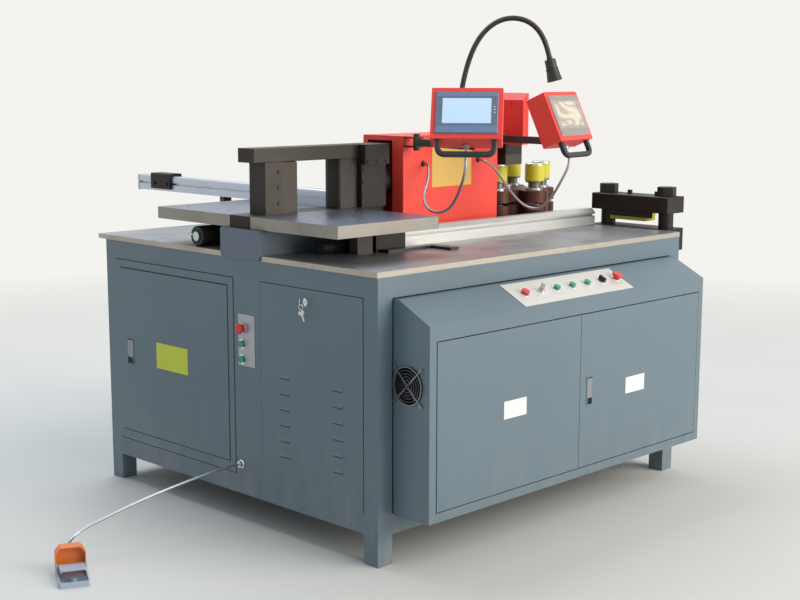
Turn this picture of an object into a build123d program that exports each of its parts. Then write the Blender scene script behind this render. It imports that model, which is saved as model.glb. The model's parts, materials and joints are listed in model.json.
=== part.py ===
from build123d import *
import os
from math import cos, hypot, pi, radians, sin, tan

# Busbar processing machine: a welded cabinet with a steel table that carries a bending unit,
# a turret punch and a shear, with an electrical box on the front and a pedal on the floor.
# Millimetres. X runs along the front, Y to the back, Z up.
# The origin is on the floor at the middle of the front left foot.

# Cabinet
cabinet_length = 1496.0
cabinet_depth = 1356.0
table_height = 867.0
plate_thickness = 16.0
plate_overhang_back = 43.0
plate_overhang_side = 2.0
leg_width = 58.0
tube_wall = 4.0
foot_thickness = 8.0
skirt_height = 91.0
rail_height = 62.0
sheet = 2.0
seam = 2.0
running_gap = 0.3
door_gap = 3.0
floor_height = 111.0
vent_rows = 8
vent_low = 300.0
vent_pitch = 40.0

# Left face, measured along Y from the front face and up from the floor
vent_start = 61.0
vent_end = 517.0
vent_bottom = 153.3
vent_top = table_height - 80.0
lock_y = 305.0
lock_z = table_height - 118.0
lock_plug_radius = 8.0
louvre_columns = (168.0, 407.0)
louvre_top = table_height - 365.0
louvre_count = 6
louvre_pitch = 49.4
louvre_length = 46.0
louvre_depth = 4.0
louvre_height = 11.0
door_start = 680.0
door_end = 1270.0
door_bottom = 191.0
door_top = table_height - 108.0
door_border = 28.0
pan_depth = 18.0
tool_box_depth = 420.0
tool_latch_y = 1220.0
gland_y = 618.0
gland_z = 191.0
side_control_y = 606.0
side_control_heights = (631.0, 582.0, 533.0)

# Electrical box on the front
box_start = 62.0
box_end = cabinet_length - 61.0
box_depth = 144.0
box_bottom = 149.5
box_shoulder = table_height - 143.4
box_top = table_height - 81.0
box_strip = 22.0
front_door_bottom = 180.0
front_door_top = table_height - 192.0
front_door_left = 93.0
front_door_middle = 749.0
front_door_right = cabinet_length - 89.0
front_latch_x = 798.0
pin_radius = 2.5
pin_clearance = 0.1

# Fan in the box's left side
fan_size = 119.0
fan_depth = 38.0
fan_bore = 57.0
fan_bolt_pitch = 105.0
fan_height = 543.0
fan_setback = 62.0
fan_blades = 7
guard_rings = 6
guard_pitch = 9.2

# Controls
bezel_radius = 15.5
stem_radius = 9.0
mushroom_radius = 18.0
control_start = 545.0
control_pitch = 77.5
control_plate_length = 550.0
control_plate_height = 116.0
control_share = 0.52
button_travel = 3.0

# Bending unit
bed_start = -8.0
bed_end = 600.0
bed_width = 190.0
bed_centre = 606.0
bed_top = table_height + 78.0
support_thickness = 38.0
support_start = 8.0
support_end = 438.0
near_support_front = 176.0
far_support_back = 1058.0
bend_rail_width = 102.0
post_width = 78.0
post_start = 69.0
post_length = 70.0
post_screw_rises = (34.0, 84.0, 133.0)
punch_holder_end = 205.0
tie_beam_start = 26.0
tie_beam_height = 44.0
tie_beam_top = table_height + 323.0
ram_axis = table_height + 195.0
piston_radius = 30.0
barrel_radius = 42.0
clamp_bottom = table_height + 257.0
bend_ram_start = 388.0
bend_ram_length = 76.0
bend_stroke = 150.0
cylinder_block_start = 466.0
cylinder_block_end = 580.0

# Red cover over the bending cylinder
cover_start = 618.0
cover_end = cabinet_length - 399.0
cover_front = 513.0
cover_back = 705.0
cover_top = table_height + 347.0
hole_radius = 10.5
conduit_holes = ((714.0, table_height + 252.0), (cover_end - 104.0, table_height + 255.0))

# Back gauge
gauge_start = 400.0
gauge_width = 38.0
gauge_height = 56.0
gauge_front = 656.0
gauge_back = 1725.0
gauge_rest = 1578.0
gauge_foot_y = 1217.0
carriage_length = 120.0

# Fence
fence_start = 485.0
fence_end = cabinet_length - 2.0
fence_front = 372.0
fence_depth = 45.0
fence_height = 60.0

# Turret punch
turret_x = cabinet_length - 198.0
turret_y = 649.0
station_circle = 144.0
station_count = 6
working_angle = 210.0
disc_thickness = 44.0
upper_disc_bottom = table_height + 88.0
die_gap = 10.0
lobe_radius = 50.0
hub_radius = 112.0
shaft_radius = 10.0
shaft_drop = 20.0
shaft_top = table_height + 292.0
spring_radius = 35.5
spring_bottom = table_height + 167.0
spring_height = 56.0
cap_height = 7.0
guide_radius = 24.0
shank_radius = 12.0
punch_stroke = 25.0
jaw_width = 92.0
jaw_front = 500.0
jaw_throat = 850.0
jaw_back = 1010.0
jaw_top = table_height + 451.0
jaw_bottom = table_height - 227.0
head_bottom = table_height + 267.0
head_top = table_height + 305.0
jaw_shoulder = 856.0
jaw_shoulder_top = table_height + 329.0
upper_jaw_bottom = table_height + 245.0
guide_post_radius = 28.0
anvil_radius = 42.0
hood_back = 860.0
nose_front = 420.0
hood_top = table_height + 462.0

# Shear
shear_start = cabinet_length + 12.0
shear_width = 104.0
shear_front = 62.0
shear_back = 398.0
shear_beam_bottom = table_height + 58.0
shear_beam_height = 59.0
column_radius = 27.0
column_span = 256.0
neck_radius = 22.0
hexagon_radius = 34.6
shear_stroke = 20.0
shear_base_bottom = table_height - 78.0

# Operator panels
panel_width = 224.0
panel_height = 172.0
panel_depth = 72.0
bezel_width = 196.0
bezel_height = 142.0
screen_width = 153.0
screen_height = 86.0
panel_centres = ((551.0, 169.0, table_height + 431.0), (cover_end - 67.0, 144.0, table_height + 415.0))
panel_yaws = (218.9, 279.8)
panel_tilts = (26.9, 24.2)
handle_length = 176.0
handle_width = 17.0
handle_bend = 22.0
handle_drop = 47.0
handle_offset = 20.0
gland_offset = 14.0
arm_tube = 24.0
arm_height = cover_top - 19.0
arm_pin_radius = 5.0
arm_pivots = ((638.0, 470.0), (cover_end - 37.0, 470.0))
conduit_radius = 4.75
conduit_first_run = 30.5
left_route = [(-9, 455, 239), (-24, 439, 216), (-43, 432, 190), (-63, 425, 164), (-81, 411, 140),
              (-96, 386, 120), (-108, 350, 107), (-117, 311, 106), (-124, 274, 118), (-133, 241, 141),
              (-145, 212, 171), (-159, 187, 201), (-171, 168, 230), (-177, 159, 260)]
right_route = [(1, 456, 240), (5, 437, 215), (10, 420, 189), (15, 399, 160), (20, 370, 133),
               (25, 336, 110), (29, 298, 97), (33, 258, 96), (34, 222, 111), (33, 190, 139),
               (31, 165, 174), (31, 147, 210), (34, 135, 243)]

# Gooseneck lamp
gooseneck_radius = 8.5
lamp_radius = 32.0
lamp_x = cover_end - 100.0
lamp_y = 609.0
lamp_turn = -45.2
lamp_route = [(0, 0), (0, 70), (9, 152), (39, 235), (75, 319), (117, 371), (159, 400),
              (201, 408), (242, 395), (279, 363), (305, 321), (324, 272)]

# Foot pedal
pedal_width = 86.0
pedal_length = 152.0
pedal_x = -671.0
pedal_y = 556.0
pedal_turn = -27.2
pedal_pin_y = 22.0
pedal_switch_y = -38.0
pedal_treadle_length = 92.0
pedal_hood_height = 80.0
pedal_hood_depth = 40.0
pedal_cord_height = 62.0
pedal_conduit_radius = 4.5
pedal_route = [(-600, 677, 66), (-575, 686, 76), (-543, 684, 89), (-497, 674, 104), (-425, 660, 126),
               (-337, 646, 149), (-245, 635, 167), (-160, 626, 181), (-95, 620, 189), (-50, 618, 191)]

# Hydraulic unit in the cabinet
tank_x = (560.0, 1050.0)
tank_y = (430.0, 830.0)
tank_height = 300.0

left = -leg_width / 2
front = -leg_width / 2
plate_bottom = table_height - plate_thickness
top_rail_bottom = plate_bottom - rail_height
skirt_top = skirt_height + rail_height
hood_front = jaw_front - sheet - running_gap
hood_low = head_top + running_gap
support_top = bed_top + support_thickness
lower_disc_bottom = upper_disc_bottom - die_gap - disc_thickness
lower_disc_top = upper_disc_bottom - die_gap
upper_disc_top = upper_disc_bottom + disc_thickness
spring_top = spring_bottom + spring_height
cap_top = spring_top + cap_height


def block(xs, ys, zs):
    """A box between limits measured from the cabinet's left face, front face and the floor."""
    size = (xs[1] - xs[0], ys[1] - ys[0], zs[1] - zs[0])
    middle = (left + (xs[0] + xs[1]) / 2, front + (ys[0] + ys[1]) / 2, (zs[0] + zs[1]) / 2)
    return Pos(*middle) * Box(*size)


def rod(radius, start, length, axis="z"):
    """A cylinder from a point in the cabinet's measures, along an axis."""
    turn = {"x": Rot(0, 90, 0), "y": Rot(-90, 0, 0), "z": Rot(0, 0, 0)}[axis]
    base = Pos(left + start[0], front + start[1], start[2]) * turn
    return base * Cylinder(radius, length, align=(Align.CENTER, Align.CENTER, Align.MIN))


def place(x, y, z):
    """A location at a point in the cabinet's measures."""
    return Pos(left + x, front + y, z)


def round_edges(shape, axis, radius):
    """The shape with its edges along one axis rounded."""
    return fillet(shape.edges().filter_by(axis), radius)


def save(name, *solids):
    """Writes one sub-part's solids as one STEP file."""
    loose = [solid for item in solids for solid in item.solids()]
    shape = loose[0] if len(loose) == 1 else Compound(children=loose)
    shape.label = name
    export_step(shape, f"parts/{name}.step")


def tube(xs, ys, zs, axis):
    """A square tube with open ends along one axis."""
    outer = block(xs, ys, zs)
    shrink = {"x": (0, 1, 1), "y": (1, 0, 1), "z": (1, 1, 0)}[axis]
    inner = [(low + wall * tube_wall, high - wall * tube_wall)
             for (low, high), wall in zip((xs, ys, zs), shrink)]
    return outer - block(*inner)


def make_frame():
    """Legs, skirt and top rails welded into one frame, with foot plates and three sheets."""
    far_x = cabinet_length - leg_width
    far_y = cabinet_depth - leg_width
    pieces = []
    for x in (0, far_x):
        for y in (0, far_y):
            pieces.append(tube((x, x + leg_width), (y, y + leg_width), (foot_thickness, plate_bottom), "z"))
            pieces.append(block((x, x + leg_width), (y, y + leg_width), (0, foot_thickness)))
    for low in (skirt_height, top_rail_bottom):
        heights = (low, low + rail_height)
        for y in (0, far_y):
            pieces.append(tube((leg_width, far_x), (y, y + leg_width), heights, "x"))
        for x in (0, far_x):
            pieces.append(tube((x, x + leg_width), (leg_width, far_y), heights, "y"))
    inset = bed_width / 2 - leg_width / 2
    for y in (bed_centre - inset, bed_centre + inset):
        ys = (y - leg_width / 2, y + leg_width / 2)
        pieces.append(tube((leg_width, far_x), ys, (top_rail_bottom, plate_bottom), "x"))
    back = block((leg_width, far_x), (cabinet_depth - 2 * sheet, cabinet_depth - sheet),
                 (skirt_top, top_rail_bottom))
    for row in range(vent_rows):
        for x in (cabinet_length * 0.28, cabinet_length * 0.72):
            z = vent_low + row * vent_pitch
            back -= block((x - 90, x + 90), (cabinet_depth - 3 * sheet, cabinet_depth), (z, z + 8))
    right_face = (cabinet_length - 2 * sheet, cabinet_length - sheet)
    right = block(right_face, (leg_width, far_y), (skirt_top, top_rail_bottom))
    floor = block((leg_width, far_x), (leg_width, far_y), (floor_height, floor_height + 3))
    strike = block((pan_depth + 1, pan_depth + 4), (lock_y - 15, lock_y + 15),
                   (lock_z + 19, top_rail_bottom))
    frame = pieces[0]
    for piece in pieces[1:]:
        frame += piece
    shear_room = block((far_x - 1, cabinet_length + 1), (shear_front - seam, shear_back + seam),
                       (shear_base_bottom - seam, plate_bottom + 1))
    frame -= shear_room
    right -= shear_room
    frame -= block(jaw_sides(), (jaw_front - seam, jaw_back + seam),
                   (top_rail_bottom - 1, plate_bottom + 1))
    save("frame", frame, back, right, floor, strike)


def jaw_sides():
    """The C frame's two side faces, along X."""
    return (punch_x() - jaw_width / 2, punch_x() + jaw_width / 2)


def punch_x():
    """The working station's place along the front, under the ram."""
    return turret_x + station_circle * cos(radians(working_angle))


def punch_y():
    """The working station's place from the front face."""
    return turret_y + station_circle * sin(radians(working_angle))


def make_table():
    """The ground steel plate with the turret's pedestal, notched for the bed and the C frame."""
    plate = block((-plate_overhang_side, cabinet_length + plate_overhang_side),
                  (0, cabinet_depth + plate_overhang_back), (plate_bottom, table_height))
    plate -= block((-plate_overhang_side - 1, bed_end + seam),
                   (bed_centre - bed_width / 2 - seam, bed_centre + bed_width / 2 + seam),
                   (plate_bottom - 1, table_height + 1))
    sides = jaw_sides()
    plate -= block((sides[0] - seam, sides[1] + seam), (jaw_throat - seam, jaw_back + seam),
                   (plate_bottom - 1, table_height + 1))
    plate -= rod(anvil_radius + seam, (punch_x(), punch_y(), plate_bottom - 1), plate_thickness + 2)
    for x in (0.06, 0.33, 0.66, 0.94):
        for y in (14, cabinet_depth + plate_overhang_back - 14):
            plate -= rod(4.5, (x * cabinet_length, y, table_height - 9), 20)
    for y in (0.22, 0.6, 0.8):
        for x in (14, cabinet_length - 14):
            plate -= rod(4.5, (x, y * cabinet_depth, table_height - 9), 20)
    pedestal = rod(46, (turret_x, turret_y, table_height - 1),
                   lower_disc_bottom - running_gap - table_height + 1)
    bore = rod(shaft_radius + pin_clearance, (turret_x, turret_y, lower_disc_bottom - shaft_drop),
               shaft_drop + 1)
    save("table_plate", plate + pedestal - bore)


def make_side_panel():
    """Middle panel of the left face with its cable gland and a control plate with bezels."""
    start = vent_end + seam
    end = door_start - door_border - seam
    panel = block((0, pan_depth), (start, end), (skirt_top, top_rail_bottom))
    panel -= block((sheet, pan_depth + 1), (start + sheet, end - sheet),
                   (skirt_top - 1, top_rail_bottom + 1))
    panel += rod(14, (-5, gland_y, gland_z), 5, "x") + rod(10, (-16, gland_y, gland_z), 11, "x")
    panel += block((-1.5, 0), (side_control_y - 59, side_control_y + 22), (512, 676))
    for plane in side_planes():
        panel -= plane * Cylinder(11, 20)
        panel += bezel(plane)
    save("side_panel", panel)


def side_planes():
    """Frames on the left control plate, from the top control down, each looking out."""
    return [Plane((left - 1.5, front + side_control_y, z), x_dir=(0, -1, 0), z_dir=(-1, 0, 0))
            for z in side_control_heights]


def louvre(y, z):
    """A pressed louvre that stands out of a panel facing the left."""
    with BuildPart() as hood:
        with BuildSketch(Plane.XZ) as profile:
            with BuildLine():
                Polyline((0, 0), (-louvre_depth, 0), (0, louvre_height), close=True)
            make_face()
        extrude(amount=louvre_length / 2, both=True)
    hollow = Pos(sheet * 0.6, 0, -sheet) * Box(louvre_depth, louvre_length - 2 * sheet, louvre_height)
    return place(0, y, z) * hood.part, place(0, y, z) * hollow


def make_vent_panel():
    """The panel with pressed louvres and its cam lock, and the lock's turning plug with its key."""
    shell = block((-1, pan_depth), (vent_start, vent_end), (vent_bottom, vent_top))
    shell -= block((-1 + sheet, pan_depth + 1), (vent_start + sheet, vent_end - sheet),
                   (vent_bottom + sheet, vent_top - sheet))
    for y in louvre_columns:
        for row in range(louvre_count):
            z = louvre_top - row * louvre_pitch
            hood, hollow = louvre(y, z)
            slot = block((-2, 2), (y - louvre_length / 2 + sheet, y + louvre_length / 2 - sheet),
                         (z + 1, z + 5))
            shell = shell + hood - slot
    shell += rod(12, (-5, lock_y, lock_z), 5 + pan_depth, "x")
    shell -= rod(lock_plug_radius + pin_clearance, (-6, lock_y, lock_z), 8 + pan_depth, "x")
    save("vent_panel", shell)
    plug = rod(lock_plug_radius, (-5, lock_y, lock_z), pan_depth + 10.3, "x")
    cam = block((pan_depth + 5.3, pan_depth + 8.3), (lock_y - 8, lock_y + 30), (lock_z - 8, lock_z + 8))
    key = block((-9, -4), (lock_y - 1.2, lock_y + 1.2), (lock_z - 4, lock_z + 4))
    bow = block((-26, -9), (lock_y - 1.2, lock_y + 1.2), (lock_z - 11, lock_z + 11))
    bow -= rod(3, (-21, lock_y - 5, lock_z - 5), 10, "y")
    save("vent_lock", plug + cam + key + round_edges(bow, Axis.Y, 2))


def hinge_pair(axis_x, axis_y, low, high, sheet_side):
    """Fixed pivot pins over and under a door, each on a tab welded behind the face sheet."""
    pairs = None
    for z, sign in ((low, -1), (high, 1)):
        zs = sorted((z + sign * 3, z + sign * 9))
        if sheet_side == "left":
            tab = block((0, axis_x + 7), (axis_y - 6, axis_y + 6), zs)
        else:
            tab = block((axis_x - 6, axis_x + 6), (-box_depth + sheet - 0.5, axis_y + 6), zs)
        pin = rod(pin_radius, (axis_x, axis_y, min(z + sign * 8, z - sign * 10)), 18)
        pairs = tab + pin if pairs is None else pairs + tab + pin
    return pairs


def make_tool_door():
    """Tool compartment: face frame with its box, shelf and pivot pins; the door; its paddle latch."""
    rim_end = cabinet_depth - leg_width + 8
    rim = block((-sheet, 0), (door_start - door_border, rim_end), (skirt_top + 3, top_rail_bottom - 2))
    ring = block((0, pan_depth), (door_start - door_border + sheet, rim_end - 10),
                 (skirt_top + 5, top_rail_bottom - 4))
    ring -= block((-1, pan_depth + 1), (door_start - door_border + 2 * sheet, rim_end - 10 - sheet),
                  (skirt_top + 5 + sheet, top_rail_bottom - 4 - sheet))
    inside = (door_start - 14, door_end + 14)
    heights = (door_bottom - 14, door_top + 14)
    box = block((0, pan_depth + tool_box_depth), inside, heights)
    box -= block((-1, pan_depth + tool_box_depth - sheet), (inside[0] + sheet, inside[1] - sheet),
                 (heights[0] + sheet, heights[1] - sheet))
    shelf_height = (door_bottom + door_top) / 2
    shelf = block((pan_depth + 8, pan_depth + tool_box_depth - sheet / 2),
                  (inside[0] + sheet / 2, inside[1] - sheet / 2), (shelf_height, shelf_height + sheet))
    rim -= block((-sheet - 1, 1), (door_start - door_gap, door_end + door_gap),
                 (door_bottom - door_gap, door_top + door_gap))
    pins = hinge_pair(2, door_start + 6, door_bottom, door_top, "left")
    save("tool_compartment", rim + ring + box + shelf + pins)

    door = block((-4, pan_depth - 4), (door_start, door_end), (door_bottom, door_top))
    door -= block((-4 + sheet, pan_depth), (door_start + sheet, door_end - sheet),
                  (door_bottom + sheet, door_top - sheet))
    door -= rod(pin_radius + pin_clearance, (2, door_start + 6, door_bottom - 5),
                door_top - door_bottom + 10)
    door -= block((-5, 0), (tool_latch_y - 19, tool_latch_y + 19), (427, 517))
    tray = block((-5.5, 9), (tool_latch_y - 19, tool_latch_y + 19), (427, 517))
    tray -= block((-7, 7), (tool_latch_y - 16, tool_latch_y + 16), (430, 514))
    tray -= rod(2 + pin_clearance, (-2, tool_latch_y - 18, 509), 36, "y")
    save("tool_door", door + tray)
    grip = block((-5.5, -2.5), (tool_latch_y - 15.5, tool_latch_y + 15.5), (452, 511))
    grip += rod(2, (-2, tool_latch_y - 17.7, 509), 35.4, "y")
    save("tool_latch", grip)


def box_profile(inset):
    """The electrical box's side outline, moved inwards by a distance."""
    slope = hypot(box_depth - box_strip, box_top - box_shoulder)
    lift = inset * (slope - (box_top - box_shoulder)) / (box_depth - box_strip)
    drop = inset * (slope - (box_depth - box_strip)) / (box_top - box_shoulder)
    return [(-box_depth + inset, box_bottom + inset), (-box_depth + inset, box_shoulder - lift),
            (-box_strip - drop, box_top - inset), (0, box_top - inset), (0, box_bottom + inset)]


def extrude_outline(points, x0, x1):
    """A solid of an outline in Y and Z, extruded along X between two places."""
    outline = Plane((left + x0, front, 0), x_dir=(0, 1, 0), z_dir=(1, 0, 0))
    return extrude(outline * make_face(Polyline(*points, close=True)), x1 - x0)


def slope_plane(x, share):
    """A frame on the sloped control face: X along the front, Y up the slope, Z out of it."""
    y = -box_depth + share * (box_depth - box_strip)
    z = box_shoulder + share * (box_top - box_shoulder)
    run, rise = box_depth - box_strip, box_top - box_shoulder
    out = (0, -rise, run)
    return Plane((left + x, front + y, z), x_dir=(1, 0, 0), z_dir=out)


def make_electrical_box():
    """Box shell with its sloped control face, control plate, bezels and pivot pins for the doors."""
    shell = extrude_outline(box_profile(0), box_start, box_end)
    shell -= extrude_outline(box_profile(sheet), box_start + sheet, box_end - sheet)
    shell += block((box_start, box_end), (-sheet, 0), (box_bottom, box_top - 1))
    shell -= block((front_door_left - door_gap, front_door_right + door_gap),
                   (-box_depth - 1, -box_depth + sheet + 1),
                   (front_door_bottom - door_gap, front_door_top + door_gap))
    shell -= rod(fan_bore - 1, (box_start - 1, -fan_setback, fan_height), 4, "x")
    for at in fan_bolts(box_start - 1):
        shell -= rod(2.3, at, 4, "x")
    plate_x = (control_places()[0] + control_places()[6]) / 2 - 14
    shell += slope_plane(plate_x, control_share) * Pos(0, 0, 0.75) * Box(
        control_plate_length, control_plate_height, 1.5)
    for x in control_places():
        plane = slope_plane(x, control_share).offset(1.5)
        shell -= plane * Cylinder(11, 20)
        shell += bezel(plane)
    for axis_x in (front_door_left + 6, front_door_right - 6):
        shell += hinge_pair(axis_x, door_pivot_y(), front_door_bottom, front_door_top, "front")
    save("electrical_box", shell)


def door_pivot_y():
    """Depth of the front doors' pivot pins."""
    return -box_depth + 5


def make_front_doors():
    """Two pan doors on pivot pins, the right one with a paddle latch."""
    back_y = -box_depth + pan_depth
    for name, x0, x1 in (("front_door_left", front_door_left, front_door_middle - 1),
                         ("front_door_right", front_door_middle + 1, front_door_right)):
        door = block((x0, x1), (-box_depth - 1, back_y), (front_door_bottom, front_door_top))
        door -= block((x0 + sheet, x1 - sheet), (-box_depth + 1, back_y + 1),
                      (front_door_bottom + sheet, front_door_top - sheet))
        axis_x = x0 + 6 if x0 == front_door_left else x1 - 6
        door -= rod(pin_radius + pin_clearance, (axis_x, door_pivot_y(), front_door_bottom - 5),
                    front_door_top - front_door_bottom + 10)
        if x1 == front_door_right:
            door -= block((front_latch_x - 15, front_latch_x + 15), (-box_depth - 2, -box_depth + 2),
                          (379, 471))
            tray = block((front_latch_x - 16, front_latch_x + 16), (-box_depth - 2.5, -box_depth + 12),
                         (378, 472))
            tray -= block((front_latch_x - 13, front_latch_x + 13), (-box_depth - 4, -box_depth + 10),
                          (381, 469))
            tray -= rod(2 + pin_clearance, (front_latch_x - 15, -box_depth + 1, 464), 30, "x")
            door += tray
        save(name, door)
    grip = block((front_latch_x - 12.5, front_latch_x + 12.5), (-box_depth - 2.5, -box_depth + 0.5),
                 (402, 466))
    grip += rod(2, (front_latch_x - 14.7, -box_depth + 1, 464), 29.4, "x")
    save("front_latch", grip)


def make_switchgear():
    """Mounting board on standoffs with rails, breakers, relays, drives and terminals."""
    board = block((box_start + 130, box_end - 60), (-sheet - 14, -sheet - 12),
                  (box_bottom + 40, box_shoulder - 60))
    for x in (box_start + 160, box_end - 90):
        for z in (box_bottom + 60, box_shoulder - 80):
            board += rod(6, (x, -sheet - 13, z), 13, "y")
    rows = (fan_height - 243, fan_height - 73, fan_height + 57)
    for z in rows:
        board += block((box_start + 160, box_end - 100), (-sheet - 22, -sheet - 14), (z - 17, z + 17))
    fittings = [(250 + 50 * n, 42, 94, 38, rows[0]) for n in range(6)]
    fittings += [(600 + 78 * n, 70, 70, 30, rows[0]) for n in range(7)]
    fittings += [(250 + 150 * n, 130, 96, 52, rows[1]) for n in range(4)]
    fittings += [(880 + 16 * n, 12, 60, 25, rows[1]) for n in range(20)]
    fittings += [(250, 170, 88, 34, rows[2]), (450, 110, 72, 34, rows[2])]
    for x, width, depth, half, z in fittings:
        board += block((x, x + width), (-sheet - 16 - depth * 0.8, -sheet - 21), (z - half, z + half))
    save("switchgear", board)


def fan_bolts(x):
    """The fan's four bolt places at one depth."""
    reach = fan_bolt_pitch / 2
    return [(x, -fan_setback + dy * reach, fan_height + dz * reach) for dy in (-1, 1) for dz in (-1, 1)]


def make_fan():
    """Axial fan: square frame, bladed rotor and a wire guard of rings and two crossed wires."""
    x0 = box_start + sheet
    half = fan_size / 2
    frame = block((x0, x0 + fan_depth), (-fan_setback - half, -fan_setback + half),
                  (fan_height - half, fan_height + half))
    frame -= rod(fan_bore, (x0 - 1, -fan_setback, fan_height), fan_depth + 2, "x")
    frame += rod(20, (x0 + fan_depth - 12, -fan_setback, fan_height), 12, "x")
    for turn in range(4):
        spoke = place(x0 + fan_depth - 3, -fan_setback, fan_height) * Rot(45 + turn * 90, 0, 0)
        frame += spoke * Pos(0, 0, 38) * Box(6, 5, 42)
    frame += rod(3, (x0 + 6, -fan_setback, fan_height), fan_depth - 12, "x")
    for at in fan_bolts(x0 - 1):
        frame -= rod(2.3, at, fan_depth + 2, "x")
    save("fan_frame", frame)

    rotor = rod(19, (x0 + 3, -fan_setback, fan_height), 20, "x")
    for blade in range(fan_blades):
        turn = place(x0 + 13, -fan_setback, fan_height) * Rot(blade * 360 / fan_blades, 0, 0)
        rotor += turn * Pos(0, 0, 35) * Rot(0, 0, 38) * Box(22, 2.2, 38)
    rotor -= rod(3 + pin_clearance, (x0 + 5, -fan_setback, fan_height), 30, "x")
    save("fan_rotor", rotor)

    guard = rod(guard_pitch, (box_start - 8, -fan_setback, fan_height), 2, "x")
    for ring in range(2, guard_rings + 1):
        radius = ring * guard_pitch
        washer = rod(radius + 1.3, (box_start - 8, -fan_setback, fan_height), 2.6, "x")
        guard += washer - rod(radius - 1.3, (box_start - 9, -fan_setback, fan_height), 5, "x")
    for sign in (-1, 1):
        wire = place(box_start - 5.2, -fan_setback, fan_height) * Rot(sign * 45, 0, 0)
        guard += wire * Box(3.2, 3.2, fan_bolt_pitch * 2 ** 0.5)
    for at in fan_bolts(box_start - 7):
        guard += rod(4.5, at, 7, "x")
    save("fan_guard", guard)


def control_places():
    """The seven controls along the sloped face."""
    return [control_start + number * control_pitch for number in range(7)]


def bezel(plane):
    """A chrome ring under a control, with the barrel that goes through the sheet."""
    ring = plane * Pos(0, 0, 1.5) * Cylinder(bezel_radius, 3)
    barrel = plane * Pos(0, 0, -9) * Cylinder(12, 20)
    return ring + barrel - plane * Cylinder(stem_radius + pin_clearance, 60)


def plunger(plane, radius, height):
    """A push button's head over the bezel, with its stem."""
    head = plane * Pos(0, 0, 3 + button_travel + running_gap + height / 2) * Cylinder(radius, height)
    return head + plane * Pos(0, 0, (6 + button_travel - 18) / 2) * Cylinder(stem_radius,
                                                                             24 + button_travel)


def mushroom(plane, radius):
    """An emergency stop's mushroom head with its stem."""
    head = Pos(0, 0, 14.5) * Cylinder(radius, 11)
    head = fillet(head.edges().group_by(Axis.Z)[-1], 5)
    head = chamfer(head.edges().group_by(Axis.Z)[0], 3)
    return plane * (head + Pos(0, 0, -4) * Cylinder(stem_radius, 28))


def turned_knob(plane, radius, wing):
    """A rotary head with a wing across it."""
    head = plane * Pos(0, 0, 3 + running_gap + 2) * Cylinder(radius, 4)
    head += plane * Pos(0, 0, -4) * Cylinder(stem_radius, 20)
    return head + plane * Pos(0, 0, 7 + wing[2] / 2) * Box(*wing)


def make_controls():
    """The moving heads of the front and side controls."""
    planes = [slope_plane(x, control_share).offset(1.5) for x in control_places()]
    save("start_button", plunger(planes[0], bezel_radius - 2, 6))
    save("key_switch", turned_knob(planes[1], 11, (2.4, 16, 20)))
    for number in range(3):
        save(f"green_button_{number + 1}", plunger(planes[2 + number], 11, 4))
    save("selector_knob", turned_knob(planes[5], 13, (8, 27, 9)))
    save("front_stop", mushroom(planes[6], mushroom_radius))
    sides = side_planes()
    save("side_stop", mushroom(sides[0], mushroom_radius - 1))
    for number in (1, 2):
        save(f"side_button_{number}", plunger(sides[number], 11, 4))


def frame_axis():
    """The bending frame's centre line along X."""
    return bed_centre + 3


def make_bending_bed():
    """Bed with its rail, the two support plates, and the blocks that carry them on the table."""
    ys = (bed_centre - bed_width / 2, bed_centre + bed_width / 2)
    bed = round_edges(block((bed_start, bed_end), ys, (plate_bottom, bed_top)), Axis.X, 9)
    bed -= block((bed_start + 10, bed_end - 10), (ys[0] + 10, ys[1] - 10), (plate_bottom - 1, bed_top - 14))
    rail_front = frame_axis() + 12 - bend_rail_width / 2
    rail_back = rail_front + bend_rail_width
    rail = block((support_start, bed_end - 20), (rail_front, rail_back), (bed_top - 1, support_top))
    save("bending_bed", bed + rail)
    near = block((support_start, support_end), (near_support_front, rail_front), (bed_top, support_top))
    far = block((support_start, support_end), (rail_back, far_support_back), (bed_top, support_top))
    near = fillet(near.edges().filter_by(Axis.Z).group_by(Axis.Y)[0], 6)
    far = fillet(far.edges().filter_by(Axis.Z).group_by(Axis.Y)[-1], 6)
    for x, y in ((0.33, 0.3), (0.33, 0.62), (0.75, 0.3), (0.75, 0.62), (0.54, 0.46)):
        at = (support_start + x * (support_end - support_start),
              near_support_front + y * (rail_front - near_support_front), support_top - 12)
        near -= rod(7, at, 20)
    for x, y in ((0.17, 0.25), (0.17, 0.8), (0.5, 0.25), (0.5, 0.8)):
        at = (support_start + x * (support_end - support_start),
              rail_back + y * (far_support_back - rail_back), support_top - 12)
        far -= rod(7, at, 20)
    save("support_plates", near, far)
    column = (table_height, bed_top)
    near_foot = block((228, 292), (323, 360), column)
    middle_foot = block((208, 282), (395, 440), column)
    far_foot = block((235, 285), (900, 1000), column)
    end_block = block((314, 444), (330, 367), column) - rod(7, (418, 329, bed_top - 20), 25, "y")
    rollers = []
    for start, y, radius, length in ((160, 418, 20, 48), (12, 850, 33, 170)):
        roller = rod(radius, (start, y, table_height + radius), length, "x")
        roller = fillet(roller.edges().filter_by(GeomType.CIRCLE).group_by(Axis.X)[0], 4)
        rollers.append(roller + rod(radius * 0.6, (start - 3, y, table_height + radius), 4, "x"))
    bar = block((330, 560), (290, 328), (table_height, table_height + 9))
    bar += block((522, 560), (205, 328), (table_height, table_height + 9))
    save("table_blocks", near_foot, middle_foot, far_foot, end_block, *rollers, bar)


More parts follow.
